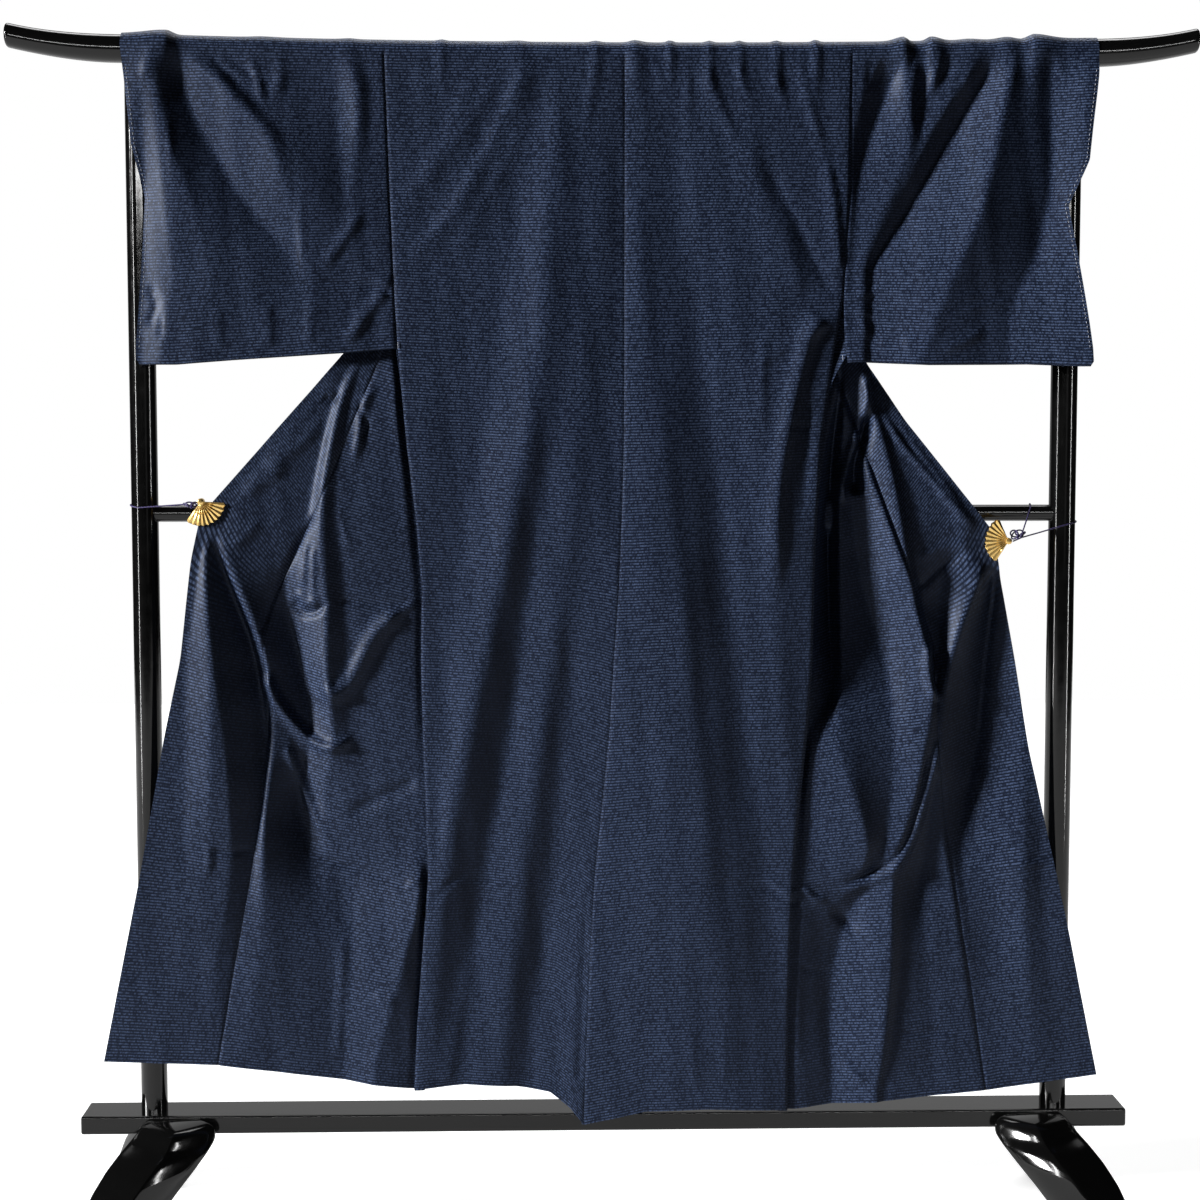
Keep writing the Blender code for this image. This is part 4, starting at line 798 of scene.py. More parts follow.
         (0.554, 0.937, -2), (0.561, 0.898, -3), (0.570, 0.857, -4), (0.579, 0.815, -5),
         (0.592, 0.745, -5), (0.607, 0.674, -4), (0.605, 0.604, 0), (0.606, 0.533, 3), (0.610, 0.462, 4),
         (0.617, 0.391, 3), (0.625, 0.277, 1), (0.626, 0.197, 0)),
    ),
}
# Small folds, listed one by one. Columns: line (x, z), half width left and right of it in mm, height in mm
# (below 0 a trough), and the shares of the line over which it eases in and out
backFolds = (
    (((-0.103, 1.626), (-0.135, 1.558), (-0.166, 1.492), (-0.209, 1.417),
      (-0.272, 1.346)), 9, 22, 3.1, 0.03, 0.12),
    (((-0.103, 1.556), (-0.137, 1.489), (-0.178, 1.409), (-0.218, 1.346)), 8, 18, 1.6, 0.3, 0.2),
    (((-0.174, 1.615), (-0.217, 1.522), (-0.275, 1.429)), 8, 16, 1.6, 0.2, 0.12),
    (((-0.138, 1.622), (-0.185, 1.542), (-0.260, 1.442)), 7, 14, 1.6, 0.15, 0.15),
    (((0.177, 1.550), (0.193, 1.497), (0.221, 1.423), (0.246, 1.363),
      (0.273, 1.302)), 24, 14, 2.8, 0.3, 0.1),
    (((0.299, 1.511), (0.313, 1.430), (0.321, 1.336)), 9, 4, 3.1, 0.3, 0.1),
    (((0.130, 1.623), (0.155, 1.563), (0.185, 1.497)), 9, 6, 2.5, 0.1, 0.3),
    (((0.064, 1.627), (0.074, 1.596), (0.082, 1.570)), 5, 5, 1.9, 0, 0.5),
    (((0.219, 1.630), (0.236, 1.584), (0.255, 1.537)), 6, 6, 2.2, 0, 0.4),
    (((0.260, 1.630), (0.277, 1.564), (0.302, 1.484)), 6, 6, 2.2, 0, 0.4),
    (((0.176, 1.630), (0.187, 1.590), (0.201, 1.550)), 5, 5, 1.9, 0, 0.5),
    (((0.110, 1.630), (0.112, 1.577), (0.114, 1.510)), 5, 5, 1.6, 0, 0.6),
    (((-0.015, 1.634), (-0.023, 1.563), (-0.033, 1.483)), 6, 6, 1.6, 0, 0.6),
    (((0.298, 1.279), (0.279, 1.252), (0.264, 1.201), (0.250, 1.133), (0.237, 1.065), (0.232, 0.996),
      (0.235, 0.941), (0.230, 0.872)), 15, 9, 6.8, 0.05, 0.3),
    (((0.280, 1.187), (0.270, 1.078), (0.263, 0.969)), 9, 9, -3.1, 0.3, 0.4),
    (((0.220, 1.484), (0.262, 1.397), (0.312, 1.301)), 7, 7, -2.2, 0.2, 0.1),
    (((0.184, 1.198), (0.263, 1.242), (0.317, 1.274)), 7, 9, 1.6, 0.4, 0.1),
    (((0.219, 1.269), (0.211, 1.187), (0.214, 1.106)), 7, 7, 1.9, 0.3, 0.4),
    (((-0.024, 0.525), (-0.032, 0.384), (-0.039, 0.207)), 5, 5, -1.9, 0.4, 0.05),
    (((-0.190, 0.399), (-0.212, 0.272), (-0.223, 0.208)), 12, 12, 2.5, 0.3, 0.05),
    (((0.116, 0.298), (0.122, 0.205)), 5, 5, 1.2, 0.4, 0.05),
    (((0.161, 0.298), (0.164, 0.205)), 5, 5, 1.2, 0.4, 0.05),
    (((-0.190, 0.515), (-0.220, 0.493), (-0.248, 0.459)), 4, 4, -1.6, 0.2, 0.2),
    (((0.212, 0.507), (0.247, 0.479), (0.268, 0.477)), 4, 4, 1.6, 0.3, 0.1),
    (((0.220, 0.489), (0.252, 0.464), (0.269, 0.460)), 3.5, 3.5, -1.6, 0.3, 0.1),
    (((-0.243, 0.883), (-0.175, 0.881), (-0.147, 0.883)), 3, 3, -0.7, 0.05, 0.3),
    (((0.058, 1.137), (0.175, 1.134), (0.305, 1.119)), 3, 3, -0.8, 0.1, 0.1),
    (((-0.245, 0.498), (-0.010, 0.498), (0.129, 0.496), (0.257, 0.479)), 3, 3, -0.8, 0.05, 0.05),
)
sleeveFolds = (
    (((-0.530, 1.640), (-0.503, 1.610), (-0.467, 1.587)), 6, 6, -3, 0, 0.3),
    (((-0.550, 1.639), (-0.521, 1.602), (-0.492, 1.576)), 5, 5, -2.6, 0, 0.3),
    (((-0.488, 1.632), (-0.475, 1.592), (-0.465, 1.549)), 5, 5, 3, 0, 0.3),
    (((-0.448, 1.640), (-0.443, 1.599), (-0.449, 1.552)), 9, 7, 3, 0, 0.4),
    (((-0.617, 1.638), (-0.623, 1.611), (-0.629, 1.578)), 6, 8, 3, 0, 0.4),
    (((-0.596, 1.551), (-0.593, 1.498), (-0.588, 1.442)), 3, 3, 1.1, 0.3, 0.3),
    (((-0.325, 1.425), (-0.357, 1.378), (-0.389, 1.334)), 9, 6, 2.6, 0.3, 0.2),
    (((-0.303, 1.307), (-0.331, 1.272), (-0.357, 1.231)), 9, 7, 3.4, 0.05, 0.2),
    (((-0.294, 1.317), (-0.321, 1.329), (-0.348, 1.348)), 6, 6, 2.2, 0.1, 0.4),
    (((-0.521, 1.308), (-0.471, 1.312), (-0.405, 1.318), (-0.351, 1.319), (-0.321, 1.313),
      (-0.294, 1.307)), 3.2, 3.2, -1.8, 0.25, 0.02),
    (((-0.463, 1.296), (-0.458, 1.231)), 10, 8, 2.2, 0.3, 0.1),
    (((-0.531, 1.296), (-0.526, 1.226)), 8, 8, 1.5, 0.3, 0.1),
    (((-0.403, 1.296), (-0.406, 1.235)), 7, 7, 1.5, 0.3, 0.1),
    (((-0.417, 1.451), (-0.416, 1.377), (-0.413, 1.323)), 5, 5, 1.5, 0.3, 0.3),
    (((-0.625, 1.316), (-0.612, 1.289), (-0.624, 1.255)), 6, 6, -3, 0.2, 0.2),
    (((-0.606, 1.282), (-0.605, 1.242)), 4, 4, -1.9, 0.3, 0.1),
    (((0.356, 1.636), (0.351, 1.582), (0.344, 1.515)), 5, 5, 2.2, 0, 0.4),
    (((0.378, 1.638), (0.365, 1.595), (0.349, 1.555)), 5, 5, 2.6, 0, 0.4),
    (((0.393, 1.638), (0.373, 1.602), (0.357, 1.575)), 4, 4, -2.2, 0, 0.4),
    (((0.460, 1.636), (0.451, 1.602), (0.439, 1.562)), 6, 5, 3.8, 0, 0.4),
    (((0.471, 1.639), (0.465, 1.615), (0.455, 1.582)), 4, 4, -2.6, 0, 0.4),
    (((0.489, 1.636), (0.479, 1.603), (0.467, 1.562)), 5, 5, 1.9, 0, 0.4),
    (((0.329, 1.297), (0.376, 1.311), (0.445, 1.303)), 4, 6, 1.9, 0.05, 0.5),
    (((0.332, 1.287), (0.376, 1.273), (0.411, 1.281)), 4, 5, 1.9, 0.05, 0.5),
    (((0.484, 1.279), (0.521, 1.290), (0.570, 1.298)), 3.5, 3.5, 1.5, 0.3, 0.3),
    (((0.459, 1.298), (0.528, 1.303), (0.570, 1.309)), 3, 3, 1.1, 0.3, 0.3),
    (((0.522, 1.257), (0.481, 1.236), (0.453, 1.226)), 7, 5, 2.2, 0.3, 0.2),
    (((0.349, 1.273), (0.360, 1.243)), 5, 5, 1.9, 0.3, 0.2),
    (((0.377, 1.250), (0.382, 1.226)), 5, 5, 1.5, 0.3, 0.2),
    (((0.411, 1.250), (0.413, 1.226)), 5, 5, 1.5, 0.3, 0.2),
    (((0.608, 1.643), (0.620, 1.621), (0.626, 1.583)), 5, 5, 2.2, 0, 0.4),
)
frontFolds = {
    -1: (
        (((-0.475, 0.787), (-0.458, 0.748), (-0.440, 0.722), (-0.417, 0.695), (-0.391, 0.680),
          (-0.365, 0.685), (-0.348, 0.703)), 7, 7, 9, 0.1, 0.2),
        (((-0.389, 0.776), (-0.378, 0.752), (-0.360, 0.762), (-0.340, 0.798), (-0.318, 0.842),
          (-0.281, 0.872)), 9, 12, 8, 0.15, 0.15),
        (((-0.402, 1.002), (-0.421, 0.969), (-0.442, 0.928), (-0.463, 0.886),
          (-0.480, 0.831)), 3.5, 3.5, -3.5, 0.05, 0.1),
        (((-0.413, 0.969), (-0.416, 0.928), (-0.419, 0.900)), 5, 5, 3, 0.2, 0.2),
        (((-0.436, 0.886), (-0.418, 0.867), (-0.400, 0.870), (-0.384, 0.884)), 5, 5, -7, 0.15, 0.15),
        (((-0.427, 0.900), (-0.411, 0.882), (-0.394, 0.889)), 4, 4, 4, 0.2, 0.2),
        (((-0.403, 0.962), (-0.404, 0.886)), 3, 4, 3.5, 0.2, 0.1),
        (((-0.313, 1.180), (-0.332, 1.160), (-0.340, 1.106), (-0.349, 1.065)), 6, 6, 4, 0.2, 0.3),
        (((-0.343, 1.167), (-0.329, 1.126), (-0.335, 1.099)), 4, 4, -3, 0.3, 0.3),
        (((-0.290, 1.174), (-0.286, 1.119), (-0.281, 1.078)), 4, 4, 3, 0.2, 0.4),
        (((-0.369, 1.024), (-0.361, 0.983), (-0.350, 0.952)), 4, 4, 1.5, 0.3, 0.3),
        (((-0.367, 1.171), (-0.378, 1.157), (-0.389, 1.167)), 4, 4, -3, 0.1, 0.2),
        (((-0.433, 1.076), (-0.472, 1.051), (-0.502, 1.024)), 12, 10, 3, 0.3, 0.3),
        (((-0.378, 1.146), (-0.420, 1.099), (-0.472, 1.065)), 9, 9, 2, 0.3, 0.3),
        (((-0.488, 1.065), (-0.454, 1.062), (-0.420, 1.059)), 3, 3, -1.2, 0.3, 0.3),
        (((-0.473, 0.996), (-0.503, 0.969), (-0.514, 0.953)), 8, 8, 2.5, 0.3, 0.3),
        (((-0.370, 0.886), (-0.326, 0.883), (-0.285, 0.882), (-0.264, 0.889)), 3, 3, -2.5, 0.1, 0.1),
        (((-0.250, 0.886), (-0.285, 0.870), (-0.312, 0.856)), 6, 5, 3, 0.1, 0.3),
        (((-0.370, 0.580), (-0.321, 0.608), (-0.259, 0.636)), 10, 8, -4, 0.3, 0.1),
        (((-0.409, 0.527), (-0.357, 0.513), (-0.302, 0.496), (-0.252, 0.477)), 3.5, 3.5, -3, 0.1, 0.05),
        (((-0.281, 0.487), (-0.263, 0.493), (-0.249, 0.496)), 4, 4, 3, 0.2, 0.1),
        (((-0.446, 0.686), (-0.427, 0.630), (-0.403, 0.574), (-0.381, 0.538)), 4, 5, 4, 0.1, 0.3),
        (((-0.435, 0.692), (-0.416, 0.637), (-0.389, 0.581)), 3.5, 3.5, -3, 0.1, 0.3),
        (((-0.553, 0.539), (-0.522, 0.538), (-0.495, 0.538)), 3, 3, -2.5, 0.1, 0.1),
        (((-0.547, 0.553), (-0.553, 0.497)), 5, 4, 2.5, 0.2, 0.4),
        (((-0.674, 0.368), (-0.594, 0.366), (-0.532, 0.363)), 3, 3, -1, 0.1, 0.1),
        (((-0.365, 0.426), (-0.372, 0.327), (-0.376, 0.241)), 6, 6, 2, 0.2, 0.1),
        (((-0.328, 0.338), (-0.306, 0.326), (-0.296, 0.340)), 6, 6, 3, 0.3, 0.3),
    ),
    1: (
        (((0.358, 1.204), (0.359, 1.160), (0.349, 1.119), (0.337, 1.084), (0.327, 1.053),
          (0.325, 1.031), (0.335, 1.016)), 6, 5, 8, 0.1, 0.15),
        (((0.359, 1.144), (0.355, 1.117), (0.346, 1.078), (0.345, 1.048),
          (0.349, 1.029)), 7, 8, -20, 0.15, 0.12),
        (((0.375, 1.149), (0.410, 1.095), (0.459, 1.038), (0.499, 0.990)), 5, 5, 3, 0.2, 0.1),
        (((0.502, 0.961), (0.461, 0.957), (0.422, 0.937)), 5, 5, 2, 0.1, 0.3),
        (((0.499, 0.951), (0.464, 0.932), (0.428, 0.896)), 5, 5, -4, 0.1, 0.2),
        (((0.447, 0.829), (0.442, 0.794), (0.449, 0.759), (0.466, 0.745)), 5, 5, 6, 0.15, 0.2),
        (((0.454, 0.815), (0.452, 0.780), (0.460, 0.759)), 4, 4, -6, 0.2, 0.2),
        (((0.464, 0.696), (0.447, 0.619), (0.430, 0.560), (0.411, 0.515), (0.375, 0.496),
          (0.323, 0.471)), 6, 5, 6, 0.15, 0.1),
        (((0.451, 0.682), (0.437, 0.619), (0.421, 0.560), (0.400, 0.520), (0.365, 0.503),
          (0.323, 0.487)), 4, 4, -5, 0.15, 0.15),
        (((0.270, 0.486), (0.291, 0.467), (0.312, 0.464)), 5, 5, 3, 0.1, 0.3),
        (((0.312, 0.457), (0.341, 0.428), (0.357, 0.421)), 8, 8, -4, 0.3, 0.3),
        (((0.541, 0.510), (0.571, 0.515), (0.618, 0.516)), 3, 3, 2, 0.1, 0.1),
        (((0.271, 0.368), (0.313, 0.362)), 3, 3, -1.2, 0.1, 0.1),
        (((0.328, 0.236), (0.360, 0.207)), 6, 6, 3, 0.3, 0.1),
        (((0.403, 0.278), (0.448, 0.275), (0.490, 0.280)), 4, 4, -1.5, 0.2, 0.2),
    ),
}


# the clips' fans; held and cloth tell where a clip bites the cloth, and at what depth the cloth lies there
clipFan = {
    "hinge": {-1: (-0.5560, 1.0215), 1: (0.5560, 0.9660)},
    "turn": {-1: -65.0, 1: 176.0},
    "spread": 124.0, "radius": 0.0335, "ribs": 10, "rib": 0.0013, "plate": 0.0009,
    "inner": 0.08, "ribIn": 2.5, "scallop": 0.06, "rings": 26, "stepsPerRib": 8,
    "front": {-1: -0.0434, 1: -0.0437}, "behind": {-1: -0.0368, 1: -0.0371},
    "band": (0.40, 0.50), "bandRise": 0.0006,
    "barrel": 0.0045, "barrelSides": 32, "barrelFront": 0.0035, "barrelBehind": 0.0028,
    "held": {-1: (-0.550, 1.004), 1: (0.539, 0.965)}, "cloth": {-1: -0.04135, 1: -0.04160},
    "heldWithin": (0.026, 0.03),
}
# how the tables of folds become depths
folding = {
    "runs": 28, "passes": 160,             # short runs of a small fold's line, and rounds of averaging
    "reach": 2.6,                          # half widths out to which a small fold is worked out
    "lineSamples": 121, "linePasses": 30,
    "corner": 0.0035, "backCorner": 0.010, # half width of the rounded corner between two planes
    "apart": 0.002,                        # least distance of two lines
}
# waves of hung cloth: radians a metre across and down, where each starts, and its height in mm
swells = ((61, 9, 0.3, 0.5), (97, -13, 1.9, 0.4), (143, 17, 4.1, 0.3),
          (37, 31, 2.2, 0.5), (23, -47, 5.0, 0.4), (211, 26, 0.9, 0.18))


def foldDepth(x, z, rows):
    # each fold is height * exp(-(distance / half width)^2) across its line, eased at both ends of the line;
    # the distance is to the nearest short run of the line, and its side tells which half width counts
    shape = np.broadcast(x, z).shape
    flatX, flatZ = np.broadcast_to(x, shape).ravel(), np.broadcast_to(z, shape).ravel()
    depth = np.zeros(flatX.size)
    for points, left, right, height, fadeIn, fadeOut in rows:
        line = pathAt(points, np.linspace(0.0, 1.0, folding["runs"] + 1), folding["passes"])
        reach = folding["reach"] * max(left, right) / 1000.0
        low, high = line.min(axis=0) - reach, line.max(axis=0) + reach
        near = np.flatnonzero((flatX > low[0]) & (flatX < high[0]) & (flatZ > low[1]) & (flatZ < high[1]))
        if not near.size:
            continue
        start, run = line[:-1], np.diff(line, axis=0)
        offX, offZ = flatX[near, None] - start[:, 0], flatZ[near, None] - start[:, 1]
        t = np.clip((offX * run[:, 0] + offZ * run[:, 1]) / (run**2).sum(axis=1), 0.0, 1.0)
        offX, offZ = offX - t * run[:, 0], offZ - t * run[:, 1]
        away = offX**2 + offZ**2
        best = away.argmin(axis=1)
        pick = (np.arange(near.size), best)
        toRight = run[best, 0] * offZ[pick] - run[best, 1] * offX[pick] > 0
        width = np.where(toRight, right, left) / 1000.0
        share = (best + t[pick]) / len(run)
        ends = smooth(share / max(fadeIn, 1e-4)) * smooth((1.0 - share) / max(fadeOut, 1e-4))
        depth[near] += height / 1000.0 * ends * np.exp(-away[pick] / width**2)
    return depth.reshape(shape)


def reliefAt(x, z, lines, soft=folding["corner"]):
    # a polyline through the lines' heights with rounded corners: height = the first + the sum of
    # bend * R(x - line), where R(t) = 0 before a corner, (t + soft)^2 / (4 soft) in it and t past it
    places, heights = [], []
    for points in lines:
        line = pathAt(np.array(points) * (1.0, 1.0, 0.001), np.linspace(0.0, 1.0, folding["lineSamples"]),
                      folding["linePasses"])[::-1]
        places.append(np.interp(z, line[:, 1], line[:, 0]))
        heights.append(np.interp(z, line[:, 1], line[:, 2]))
        if len(places) > 1:
            places[-1] = np.maximum(places[-1], places[-2] + folding["apart"])
    height, slope = heights[0] + 0.0 * x, 0.0
    for k, place in enumerate(places):
        after = 0.0
        if k + 1 < len(places):
            after = (heights[k + 1] - heights[k]) / (places[k + 1] - place)
        t = x - place
        corner = np.where(t < soft, np.maximum(t + soft, 0.0) ** 2 / (4.0 * soft), t)
        height = height + (after - slope) * corner
        slope = after
    return height


def drape(x, z):
    # slight swell of hung cloth: six long waves, steep across the fall and slow along it
    total = np.zeros(np.broadcast(x, z).shape)
    for across, down, start, size in swells:
        total += garment["drape"] * size / 1000.0 * np.sin(across * x + down * z + start)
    return total


def rodZ(x):
    # height of the rod's axis: it rises a little outwards and more at the tips
    reach = np.abs(x)
    tip = np.clip((reach - stand["rodBend"]) / (stand["rodHalf"] - stand["rodBend"]), 0.0, 1.1) ** 2
    along = np.minimum(reach / stand["rodBend"], 1.0) ** 2
    return stand["rodHeight"] + stand["rodRise"] * along + stand["tipRise"] * tip


def lift(x):
    # each gather is a bell with its own width on either side
    return sum(height * np.exp(-(((x - at) / np.where(x < at, left, right)) ** 2))
               for at, left, right, height in gathers)


def layer(z):
    # spacing of two layers that hang one behind the other
    more = garment["layerHigh"] - garment["layerLow"]
    return garment["layerLow"] + more * above(z, garment["layersAbove"])


def rodGap(z):
    # spacing of the layers before and behind the rod
    near = layer(z)
    return near + (2.0 * garment["onRod"] - near) * above(z, garment["rodAbove"])


# back and sleeves as one surface
backShape = {
    "sleevesAbove": (1.17, 0.035),
    "rightDeeper": 1.22,      # the right sleeve's planes stand deeper than its table says
    "postHalf": 0.026, "postDeep": 0.0201, "postAbove": 1.2, "postEase": 0.0012,    # cloth over a post
    "columns": 66, "overRod": 10, "overLong": 0.062, "centreDip": 0.7,
}


def shapeOfBack(x, z):
    # planes and small folds of the back and sleeves together, none at the rod
    sleeves = reliefAt(x, z, sleeveLines[-1]) + backShape["rightDeeper"] * reliefAt(x, z, sleeveLines[1])
    planes = reliefAt(x, z, backLines, folding["backCorner"]) + sleeves * above(z, backShape["sleevesAbove"])
    folds = planes + foldDepth(x, z, backFolds + sleeveFolds) + drape(x, z)
    return below(z, garment["foldsBelow"]) * folds


def clearOfRod(y, z, away):
    # a layer beside the rod stays outside the circle of the cloth round it
    high = z - stand["rodHeight"]
    circle = np.sqrt(np.clip(garment["onRod"] ** 2 - high**2, 0.0, None))
    return np.where(np.abs(high) < garment["onRod"], away * np.maximum(away * y, circle), y)


def backY(x, z, folded=None):
    # depth of the layer before the rod: straight down from the rod, leaning out, less the folds
    folded = shapeOfBack(x, z) if folded is None else folded
    lean = garment["leanOut"] * below(z, garment["leanBelow"])
    y = -garment["onRod"] - lean - folded - lift(x) * above(z, garment["gathersAbove"])
    y = clearOfRod(y, z, -1)
    # a post stands behind the cuff: the cloth lies over it
    across = np.clip((np.abs(x) - stand["postX"]) / backShape["postHalf"], -1.0, 1.0)
    post = np.where(z > backShape["postAbove"], -backShape["postDeep"] * np.sqrt(1.0 - across**2), 1.0)
    return np.where(np.abs(across) < 1.0, keptBefore(y, post, backShape["postEase"]), y)


def farY(x, z, folded=None, gap=None, loose=1.0):
    # the layer a gap behind the back; high up it hangs unfolded from the far side of the rod
    folded = shapeOfBack(x, z) if folded is None else folded
    gap = rodGap(z) if gap is None else gap
    loose = above(z, garment["looseAbove"]) * loose
    y = backY(x, z, folded) + loose * folded + gap + lift(x) * above(z, garment["gathersAbove"])
    return clearOfRod(y, z, 1)


def sideX(z, side):
    # where a side seam stands at a height
    return tableAt(tuple(zip(levels, sideSeams[side])), z)


# fronts and okumi as one surface
frontShape = {
    "troughOut": 0.006, "ridgeOut": 0.010,     # way out from the side seam over which planes rise
    "smallFrom": (0.004, 0.02), "drape": 0.6, "drapeSlow": 0.7,
    "barFace": 0.0140, "barClear": 0.06, "barAway": (0.014, 0.05), "barEase": 0.002,
    "inward": (0.97, 20), "turnSteps": 9, "outward": (0.985, 84),      # last share and columns of a stretch
    "sewnBelow": (1.30, 0.07), "sewnWide": 0.022, "sewnGap": 0.0005,
    "rollWide": 0.009, "rollFrom": 0.02,
}


def spreadY(x, z, side):
    # the opened fronts, two layers behind the back, with their own folds, and flat where a clip bites
    out = np.abs(x) - np.abs(sideX(z, side))
    behind = farY(x, z) + layer(z)
    planes = reliefAt(x, z, frontLines[side])
    planes = planes * smooth(out / np.where(planes < 0.0, frontShape["troughOut"], frontShape["ridgeOut"]))
    waves = frontShape["drape"] * drape(z * frontShape["drapeSlow"], x)
    small = above(out, frontShape["smallFrom"]) * (foldDepth(x, z, frontFolds[side]) + waves)
    shaped = behind - planes - small
    clip, flat = clipFan["held"][side], clipFan["cloth"][side]
    held = 1.0 - above(np.hypot(x - clip[0], z - clip[1]), clipFan["heldWithin"])
    shaped = shaped + (flat - shaped) * held
    # the crossbar stands behind: no pocket reaches back to it
    fromBar = above(np.abs(z - stand["barZ"]), frontShape["barAway"])
    limit = -frontShape["barFace"] + frontShape["barClear"] * fromBar
    return keptBefore(shaped, limit, frontShape["barEase"])


def raised(x, z):
    # follows the rise of the rod near the top of the garment
    return z + (rodZ(x) - stand["rodHeight"]) * above(z, garment["riseAbove"])


def overRod(x, angle, away):
    # on the cloth where it turns over the rod: a circle about the axis, lifted by the gathers before the rod
    reach = garment["onRod"] + lift(x) * (1.0 - smooth(away * np.sin(angle)))
    y = away * reach * np.sin(angle) * np.ones_like(x)
    return np.stack([x, y, rodZ(x) + reach * np.cos(angle)], axis=-1)


def dipAt(distance):
    # the cloth dips beside a seam: depth * exp(-(distance / width)^2)
    return garment["dip"] * np.exp(-((distance / garment["dipWidth"]) ** 2))


def edgedShares(count, width):
    # shares from 0 to 1 that crowd at both ends, where seams dip
    ends = np.array(garment["seamSteps"]) / width
    inner = np.linspace(ends[-1], 1.0 - ends[-1], count)
    return np.concatenate([[0.0], ends[:-1], inner, 1.0 - ends[:-1][::-1], [1.0]])


def withAllowance(grid, uv, edge, way):
    # one more column beyond an edge: the seam allowance that lies under the next piece
    more = grid[:, edge] + np.array((way * garment["allowance"][0], garment["allowance"][1], 0.0))
    place = 0 if edge == 0 else grid.shape[1]
    return np.insert(grid, place, more, axis=1), np.insert(uv, place, uv[:, edge], axis=1)


# back
def backPanel(side):
    # columns from side seam to centre seam, rows from the rod's far side over it and down to the hem
    wide = garment["backCut"][0]
    w = edgedShares(backShape["columns"], wide)
    s = np.linspace(0.0, 1.0, garment["rows"])[:, None]
    top = stand["rodHeight"]
    zSide = top - (top - garment["hemSide"][side]) * s
    zCentre = top - (top - garment["hemCentre"]) * s
    xSide = sideX(zSide, side)
    xCentre = tableAt(tuple(zip(levels, centreSeam)), zCentre)
    inset = garment["seam"] / 2 / np.abs(xCentre - xSide)
    share = inset + w * (1.0 - 2.0 * inset)
    x = xSide + (xCentre - xSide) * share
    z = zSide + (zCentre - zSide) * share + tableAt(hemLift[side], w) * s**3 + rodZ(x) - top
    width = np.abs(xCentre - xSide)
    y = backY(x, z) + dipAt(w * width) + backShape["centreDip"] * dipAt((1.0 - w) * width)
    angles = np.linspace(0.0, math.pi / 2, backShape["overRod"])
    over = [overRod(x[0], angle, 1) for angle in angles[:0:-1]]
    over += [overRod(x[0], angle, -1) for angle in angles[:-1]]
    grid = np.concatenate([np.array(over), np.stack([x, y, z], axis=-1)])
    v = np.concatenate([np.linspace(-backShape["overLong"], 0.0, len(over) + 1)[:-1],
                        s[:, 0] * garment["weaveLong"]])
    uv = np.stack(np.broadcast_arrays(wide * w * -side, v[:, None]), axis=-1)
    if side > 0:
        grid, uv = withAllowance(grid, uv, -1, -1)
    return grid, uv


for side, word in sideNames.items():
    panel = clothPiece(f"back_{word}", *backPanel(side))


# fronts
def rowMarks(side):
    # shares of the front's inner edge at the okumi's tip and at the clip
    total = pathLength(frontEdge[side])
    tip = pathLength(frontEdge[side][:2]) / total
    beforeClip, pastClip = pathLength(slant[side]), pathLength(freeEdge[side])
    return tip, tip + (1.0 - tip) * beforeClip / (beforeClip + pastClip)


def frontPanel(side):
    # columns from the side seam in behind the back, round a turn, and out to the neck, collar and okumi seam
    s = np.linspace(0.0, 1.0, garment["rows"])
    edge = pathAt(frontEdge[side], s)
    top = stand["rodHeight"]
    zSide = (top - (top - garment["hemSide"][side]) * s)[:, None]
    xSide = sideX(zSide, side)
    middleZ, tall = garment["underarmAt"]
    bulge = garment["underarm"][side] * np.exp(-(((zSide - middleZ) / tall) ** 2))
    start = xSide - side * garment["seam"] + side * bulge
    end = edge[:, :1] - side * garment["seam"] / 2
    radius = layer(zSide) / 2
    middle = start - side * (tableAt(tuck[side], zSide) - radius)
    inward = np.linspace(0.0, *frontShape["inward"])
    turn = np.linspace(-0.5, 0.5, frontShape["turnSteps"])[1:-1] * math.pi
    ends = np.array([*garment["seamSteps"][::-1], 0.0]) / garment["frontCut"][0]
    outward = np.concatenate([np.linspace(0.0, *frontShape["outward"]), 1.0 - ends])
    xIn = start + (middle - start) * inward
    xOut = middle + (end - middle) * outward
    x = np.concatenate([xIn, middle - side * radius * np.cos(turn), xOut], axis=1)
    before = np.zeros(len(inward) + len(turn))
    isOut = np.concatenate([before, np.ones(len(outward))])
    z = zSide + (edge[:, 1:] - zSide) * np.concatenate([before, outward])
    depth = np.concatenate([np.zeros(len(inward)), 0.5 + 0.5 * np.sin(turn), np.ones(len(outward))])
    y = farY(x, z) + layer(z) * depth
    closed = below(zSide, frontShape["sewnBelow"])
    seam = (1.0 - smooth(np.abs(x - start) / frontShape["sewnWide"])) * (1.0 - isOut) * closed
    y += (backY(x, z) + garment["wall"] + frontShape["sewnGap"] - y) * seam
    y += (spreadY(x, z, side) - y) * isOut
    inside = np.abs(end - x) / frontShape["rollWide"]
    rolled = tableAt(roll[side], edge[:, 1:]) * (inside * np.exp(1.0 - inside)) ** 2
    y -= rolled * isOut * smooth((np.abs(x) - np.abs(xSide)) / frontShape["rollFrom"])
    y += dipAt(np.abs(end - x)) * isOut
    z = raised(x, z)
    grid = np.stack([x, y, z], axis=-1)
    steps = np.linalg.norm(np.diff(grid[:, :, :2], axis=1), axis=2)
    across = np.concatenate([np.zeros((len(s), 1)), np.cumsum(steps, axis=1)], axis=1)
    v = np.broadcast_to(s[:, None] * garment["weaveLong"], x.shape)
    uv = np.stack([side * (across - across[:, -1:]), v], axis=-1)
    return grid, uv


for side, word in sideNames.items():
    panel = clothPiece(f"front_{word}", *frontPanel(side))


# okumi, the narrow overlap panels
okumi = {"rows": 270, "columns": 36, "belowTip": 0.006, "pulled": 0.62, "pulledFrom": (-0.03, 0.12)}


